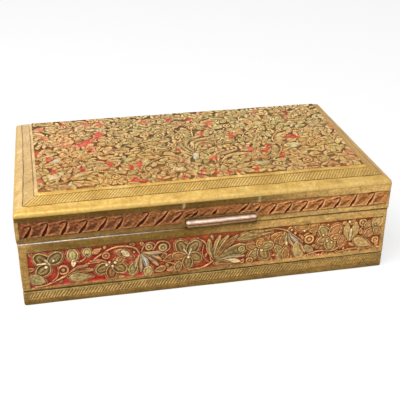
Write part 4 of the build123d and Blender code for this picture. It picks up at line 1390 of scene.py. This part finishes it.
# Main stems of the panel
PANEL_STEMS = (
    ((-86, -38), (-74, -36), (-62, -26), (-50, -28), (-40, -36), (-26, -36)),
    ((-86, 2), (-76, 4), (-66, -2), (-54, -6), (-44, -2), (-32, 8)),
    ((-84, 34), (-74, 26), (-64, 30), (-52, 34), (-40, 26), (-28, 28)),
    ((-28, 28), (-14, 30), (-4, 20), (-2, 6), (0, -6)),
    ((0, -6), (4, 10), (6, 22), (14, 34), (26, 38), (40, 34)),
    ((0, -6), (-8, -14), (-20, -16), (-30, -26), (-28, -36)),
    ((0, -6), (8, -14), (10, -26), (20, -34), (34, -34), (46, -26)),
    ((46, -26), (52, -14), (50, -2), (58, 8), (70, 10), (84, 4)),
    ((46, 42), (38, 32), (44, 22), (56, 20), (68, 26), (84, 28)),
    ((46, -26), (58, -24), (70, -30), (84, -26)),
    ((24, -6), (32, 2), (38, 12), (50, 12)),
    ((-20, 6), (-12, 12), (-6, 22), (-12, 34)),
)

# Its petals, leaves, buds and blades whose places can be made out in the photograph: place and the shape's
# own values, which for a blade begin with the place of its tip
PANEL_MARKS = (
    ("leaf", -88, 34, 50, 8, 4.5, "pink"), ("leaf", -82, 40, -20, 7, 3.4, "green"),
    ("petal", -80, 13, 30, 7, 4.5, "green"), ("leaf", -75, 31, 22, 10, 4.4, "green"),
    ("blade", -88, -6, -78, 0, 2.6, "cream"), ("blade", -81, -11, -74, -6, 3.0, "teal"),
    ("petal", -61.5, 3, 0, 5, 4, "green"), ("petal", -51, -4, 180, 5, 4, "green"),
    ("leaf", -67, -29, 18, 10, 4.6, "cream"), ("petal", -64, -9, 20, 6, 4.4, "ochre"),
    ("petal", -70, -33, 30, 6, 4.4, "ochre"), ("bud", -46, -35, 2.6, "tan", "olive"),
    ("bud", -72, 38, 2.6, "tan", "brown"), ("petal", -79, 22, 20, 5.4, 3.4, "cream"),
    ("bud", -33, 17, 2.8, "tan", "olive"), ("bud", -24, 17, 2.8, "ochre", "olive"),
    ("bud", -16, 15, 2.6, "tan", "olive"), ("bud", -7, 22.5, 2.4, "tan", "olive"),
    ("bud", -10, 0, 2.8, "tan", "olive"), ("bud", -4, 10, 2.6, "tan", "brown"),
    ("bud", -3.5, -4, 2.4, "ochre", "brown"), ("leaf", -28, 3, 12, 11, 5.0, "ochre"),
    ("petal", -37, 30, 45, 6.4, 4.4, "green"), ("petal", -38, -16, 40, 6, 4.6, "green"),
    ("petal", -39, -33, 40, 6, 4.6, "green"), ("petal", -32, -40, 60, 6, 4.4, "green"),
    ("petal", -30, -19, 50, 5, 3.6, "cream"), ("petal", -12, 33, 80, 6, 4, "cream"),
    ("leaf", 6, 10, 60, 9, 3.6, "tan"), ("petal", 12, 0, 0, 6, 5, "grey"),
    ("bud", 23, -11, 3.4, "tan", "olive"), ("bud", 16, -15, 2.8, "tan", "olive"),
    ("petal", 6, -14, 30, 7.4, 4.2, "green"), ("bud", 43, -35, 2.8, "grey", "grey"),
    ("bud", 42.5, 19.5, 2.2, "tan", "brown"), ("bud", 28, 22, 2.4, "tan", "olive"),
    ("leaf", 20, -36, 30, 10, 4.6, "green"), ("petal", 30, -3, 60, 6.6, 4.4, "green"),
    ("petal", 36, -12, 50, 6, 4.2, "green"), ("petal", 12, 9, 80, 6, 4.0, "green"),
    ("petal", 26, 27, 60, 5.4, 4.0, "green"), ("petal", 0, -26, 70, 6.2, 4.2, "green"),
    ("petal", 3, -37, 40, 6.2, 4.4, "green"), ("petal", 34, -35, 40, 6.6, 4.6, "green"),
    ("leaf", 54, -13, 12, 12, 6.0, "cream"), ("petal", 68, -36, 40, 7, 5, "green"),
    ("petal", 79, -14, 30, 7, 4.6, "green"), ("petal", 76, 23, 40, 6, 4.4, "green"),
    ("petal", 45, -20, 50, 6, 4.2, "green"), ("leaf", 86, -15, 70, 7, 3.6, "cream"),
    ("bud", 54, 16, 3.0, "tan", "olive"), ("bud", 47.5, 13, 2.6, "tan", "olive"),
    ("petal", 52, -3, 10, 6.4, 4.4, "cream"), ("leaf", 62, 5, 60, 7, 3.6, "tan"),
    ("leaf", 73, -16, 36, 9, 3.8, "tan"), ("bud", 61, -34, 3.0, "rust", "brown"),
    ("blade", 0, -16, -5, 2, 3.2, "olive", None, 0.2),
    ("blade", 0, -14, 2, 9, 3.2, "brown", None, 0.24),
    ("blade", 1, -12, 9, 11, 3.4, "olive", None, 0.3), ("blade", 2, -10, 14, 7, 3.2, "tan", None, 0.3),
    ("blade", 2, -9, 15.5, 1, 3.0, "green", None, 0.3),
    ("blade", 1, -16, 10, -22, 3.2, "cream", None, -0.2),
    ("blade", -1, -16, -5, -27, 3.0, "green", None, -0.15), ("petal", 0, -22, 80, 6.4, 3.4, "blue"),
    ("blade", 10, -28, 18, -12, 3.2, "tan", None, 0.2),
    ("blade", 11, -28, 25, -13, 3.4, "olive", None, 0.22),
    ("blade", 12, -29, 31, -18, 3.4, "tan", None, 0.2),
    ("blade", 13, -30, 33, -25, 3.2, "green", None, 0.16),
)

# Its flowers: place, reach, number of petals, colour and turn
PANEL_FLOWERS = (
    (-61, 23, 7.0, 5, "green", 20), (-80, -30, 5.0, 7, "cream", 10), (-20, -3, 8.2, 5, "olive", 54),
    (20, 3, 8.4, 5, "olive", 30), (9, 26, 6.8, 5, "tan", 10), (59, 26, 7.4, 5, "green", 40),
    (84, 16, 6.2, 5, "grey", 0), (-46, 12, 6.6, 5, "olive", 70), (36, -22, 6.4, 5, "tan", 15),
    (-14, -30, 7.2, 5, "olive", 33), (70, -10, 6.6, 5, "ochre", 60), (-70, -12, 6.2, 5, "tan", 24),
    (30, 12, 6.0, 5, "tan", 40), (-34, 40, 5.6, 5, "olive", 10), (66, 38, 5.8, 5, "tan", 20),
    (24, -26, 5.4, 5, "green", 50),
)

# Its white beads
PANEL_BEADS = (
    (-51, 30), (-47, 28), (-12, -32), (-27, -28), (-26, 33), (-41.5, 10), (-12.5, -1), (31.5, -20),
    (22.5, -29.5), (43, -29), (23.5, 31), (73, 30), (71, 5), (76.5, -26), (67, 14),
)


def panel_motifs(s):
    """Everything raised on the top panel."""
    long_stems = [[placed(x, y) for x, y in path] for path in PANEL_STEMS]
    for number, path in enumerate(long_stems):
        stem(s, path, 0.55, 0.4, "tan" if number % 3 else "ochre", rise=0.7)
    shapes = {"leaf": leaf, "petal": petal, "bud": bud, "blade": blade}
    for kind, x, y, *rest in PANEL_MARKS:
        if kind == "blade":
            rest[:2] = placed(*rest[:2])
        shapes[kind](s, *placed(x, y), *rest)
    for x, y, reach, count, tone, turn in PANEL_FLOWERS:
        x, y = placed(x, y)
        for k in range(count):
            petal(s, x, y, turn + 360 * k / count, reach, reach * 0.78, tone, rise=0.85)
        for k in range(4):
            a = radians(turn + 36 + 90 * k)
            length = reach * 0.42
            stamen(s, x, y, x + length * cos(a), y + length * sin(a), tip=0.5, tone="cream")
    for x, y in PANEL_BEADS:
        bead(s, *placed(x, y), 0.8, "white")
    for number, path in enumerate(long_stems):
        spray(s, path, spacing=5.2, size=7.6, tones=("tan", "olive", "ochre", "green"),
              first=1 if number % 2 else -1)
    combs(s)
    fill_gaps(s, -PANEL_Y + 0.4, PANEL_Y - 0.4, -PANEL_X + 0.5, PANEL_X - 0.5, 9,
              ["tan", "pink", "ochre", "olive", "green", "cream"], 2600, (3.4, 6.0), 0.24)


def combs(s):
    """Fans of bent leaf fingers, laid where there is room, that follow the sweep of the main stems."""
    rng = np.random.default_rng(17)
    tones = ("tan", "olive", "ochre", "green", "cream", "pink")
    for _ in range(1500):
        x, y = rng.uniform(-87, 87), rng.uniform(-45, 45)
        turn = 40 * sin(x / 17.0) + 65 * cos(y / 13.0) + rng.uniform(-30, 30) + 180 * rng.integers(2)
        hand = 1 if rng.uniform() < 0.5 else -1
        length, first = rng.uniform(6.4, 9.6), rng.integers(len(tones))
        aim = radians(turn)
        if s.crowded(x + 0.5 * length * cos(aim), y + 0.5 * length * sin(aim), 2.4, 0.42):
            continue
        for k in range(3):
            lean = radians(turn + hand * (k - 1) * 34)
            reach = length * (1 - 0.1 * k)
            blade(s, x, y, x + reach * cos(lean), y + reach * sin(lean), reach * 0.42,
                  tones[(first + k) % len(tones)], bend=-0.13 * hand, under=True)


def build_panel():
    """The raised panel: its relief, its low edge and its flat underside."""
    s, out = plan_panel()
    x, y, lift = tapered(s.across, s.up)
    points = np.stack([x, y, PANEL_TOP + lift + out], -1)
    inner = np.stack([x, y, PANEL_LOW + 0 * out], -1)
    piece = make_sheet("top_panel_relief", points, s, inner, PANEL_BRASS)
    finished(piece, "lid", "lid_top_panel")


# The pull's section, from its top face over the bright lip and the cut line to the bead and the
# underside: how far it stands out, how high, and its tint: a painted highlight on the lip, painted
# shade under the bead, and a dark top face that is partly tarnish and partly painted shade
PULL_SECTION = (
    (0, 4.4, "#6E5236"), (1.0, 4.4, "#6E5236"), (1.9, 4.15, "#A88A70"), (2.7, 3.6, "#F0D8CC"),
    (3.15, 2.9, "#B08A6C"), (3.1, 2.35, "#5A3E26"), (2.72, 2.05, "#5A3E26"), (2.5, 1.85, "#7A5A3A"),
    (2.75, 1.6, "#9C7A50"), (2.95, 1.2, "#94704A"), (2.75, 0.65, "#6A4C2C"), (2.1, 0.2, "#3E2A14"),
    (1.0, 0.0, "#30200E"), (0, 0.0, "#30200E"),
)


def build_pull():
    """The thumb pull: a plated upper lip with a painted highlight, a cut line under it, a worn lower bead
    and painted shade below it.
    """
    end, round_end = PULL_LENGTH / 2, 1.4
    waist = 2.2  # height about which the section narrows towards the ends
    bm = bmesh.new()
    lacquer = bm.verts.layers.float_color.new("lacquer")
    stations = spaced(-end, (round_end - end, 0.2), (end - round_end, 1.1), (end, 0.2))
    grid = bmesh.ops.create_grid(bm, x_segments=len(stations) - 1, y_segments=len(PULL_SECTION) - 1,
                                 size=0.5)
    for number, vert in enumerate(grid["verts"]):
        row, column = divmod(number, len(stations))
        reach, tall, tint = PULL_SECTION[row]
        x = stations[column]
        left = max(0.0, 1 - (end - abs(x)) / round_end)
        narrow = np.sqrt(max(0.0, 1 - left ** 2)) * 0.62 + 0.38
        taper = 0.82 + 0.18 * min(1.0, (end - x) / 26)
        wander = 0.06 * sin(x / 3.1) + 0.05 * sin(x / 1.3)
        y = -LID["width"] / 2 - reach * narrow * taper + (wander if reach > 0 else 0)
        z = PULL_LOW + waist + (tall - waist) * narrow * (0.9 + 0.1 * taper) + 0.03 * x / end
        vert.co = Vector((PULL_X + x, y, z)) * MM
        vert[lacquer] = rgba(tint, 0.96)
    rim = [edge for edge in bm.edges if edge.is_boundary]
    bmesh.ops.contextual_create(bm, geom=rim)
    for face in bm.faces:
        face.smooth = len(face.verts) == 4
    bmesh.ops.recalc_face_normals(bm, faces=bm.faces)
    finished(make_object("plated_pull", bm, PULL_METAL), "lid", "thumb_pull")


def paint_frame():
    """Better finishes for the parts whose shapes are right as they are."""
    finishes = {
        "base_bottom_plate": SHEET_BRASS, "base_hinge_bearer": SHEET_BRASS, "lid_hinge_bearer": SHEET_BRASS,
        "base_hinge_knuckles": TUBE_BRASS, "lid_hinge_knuckles": TUBE_BRASS, "hinge_pin": WIRE_BRASS,
    }
    for name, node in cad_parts.items():
        material = finishes.get(name, WOOD if "lining" in name else None)
        if material:
            node.data.materials.clear()
            node.data.materials.append(material)


def build_camera():
    """The camera that was fitted to the photograph."""
    camera_data = bpy.data.cameras.new("camera")
    camera = bpy.data.objects.new("camera", camera_data)
    bpy.context.scene.collection.objects.link(camera)
    bpy.context.scene.camera = camera
    turn, tilt, roll = radians(-11.60), radians(27.73), radians(0.17)
    aside, above, distance = 6.18, -5.43, 446.7
    target = Vector((0, 0, 28.0))
    back = Vector((sin(turn) * cos(tilt), -cos(turn) * cos(tilt), sin(tilt)))
    right = Vector((cos(turn), sin(turn), 0))
    up = back.cross(right)
    right, up = cos(roll) * right + sin(roll) * up, -sin(roll) * right + cos(roll) * up
    place = (target + back * distance + right * aside + up * above) * MM
    view = Matrix((right, up, back)).transposed().to_4x4()
    camera.matrix_world = Matrix.Translation(place) @ view
    focal_pixels, picture_pixels = 743.9, 400
    camera_data.sensor_width = 36.0
    camera_data.lens = focal_pixels / picture_pixels * camera_data.sensor_width
    camera_data.clip_start = 0.01


def build_floor():
    """White paper that takes a soft shadow and glows a little, so that it shows as white."""
    material, tree = new_material("White paper floor")
    rays = add_node(tree, "ShaderNodeLightPath")
    paper = add_node(tree, "ShaderNodeBsdfDiffuse", {"Color": rgba("#FFFFFF")})
    glow = add_node(tree, "ShaderNodeEmission", {"Color": rgba("#FFFFFF"), "Strength": 1.0})
    seen = add_node(tree, "ShaderNodeMath", {0: rays.outputs["Is Camera Ray"], 1: 0.72},
                    operation="MULTIPLY")
    share = add_node(tree, "ShaderNodeMixShader", {0: seen.outputs[0], 1: paper.outputs[0],
                                                   2: glow.outputs[0]})
    add_node(tree, "ShaderNodeOutputMaterial", {"Surface": share.outputs[0]})
    bm = bmesh.new()
    bmesh.ops.create_grid(bm, x_segments=1, y_segments=1, size=4.0)
    make_object("floor", bm, material)


def build_surround():
    """An even white surround, full white where it is seen or mirrored and half as strong as a light."""
    world = bpy.data.worlds.new("white surround")
    bpy.context.scene.world = world
    world.use_nodes = True
    tree = world.node_tree
    tree.nodes.clear()
    rays = add_node(tree, "ShaderNodeLightPath")
    seen = add_node(tree, "ShaderNodeMath", {0: rays.outputs["Is Camera Ray"],
                                             1: rays.outputs["Is Glossy Ray"]}, operation="MAXIMUM")
    plain = add_node(tree, "ShaderNodeBackground", {"Color": rgba("#FFFFFF"), "Strength": 0.5})
    white = add_node(tree, "ShaderNodeBackground", {"Color": rgba("#FFFFFF"), "Strength": 1.0})
    share = add_node(tree, "ShaderNodeMixShader", {0: seen.outputs[0], 1: plain.outputs[0],
                                                   2: white.outputs[0]})
    add_node(tree, "ShaderNodeOutputWorld", {"Surface": share.outputs[0]})


def build_lamp():
    """A wide soft lamp above the front left."""
    lamp_data = bpy.data.lights.new("key", "AREA")
    lamp_data.shape = "RECTANGLE"
    lamp_data.size, lamp_data.size_y = 0.7, 0.5
    lamp_data.energy = 11.0
    lamp = bpy.data.objects.new("key", lamp_data)
    bpy.context.scene.collection.objects.link(lamp)
    place, target = Vector((-0.45, -0.35, 0.9)), Vector((0, 0, 0.03))
    lamp.location = place
    lamp.rotation_euler = (target - place).to_track_quat("-Z", "Y").to_euler()


def main():
    """Build every visible piece, then the camera, the floor and the light."""
    for side in SIDES:
        build_wall("base", side, *base_sheet(side))
        build_wall("lid", side, *lid_sheet(side))
    close_border(build_border())
    build_panel()
    build_pull()
    paint_frame()
    build_camera()
    build_floor()
    build_surround()
    build_lamp()
    bpy.context.scene.view_settings.view_transform = "Standard"


main()
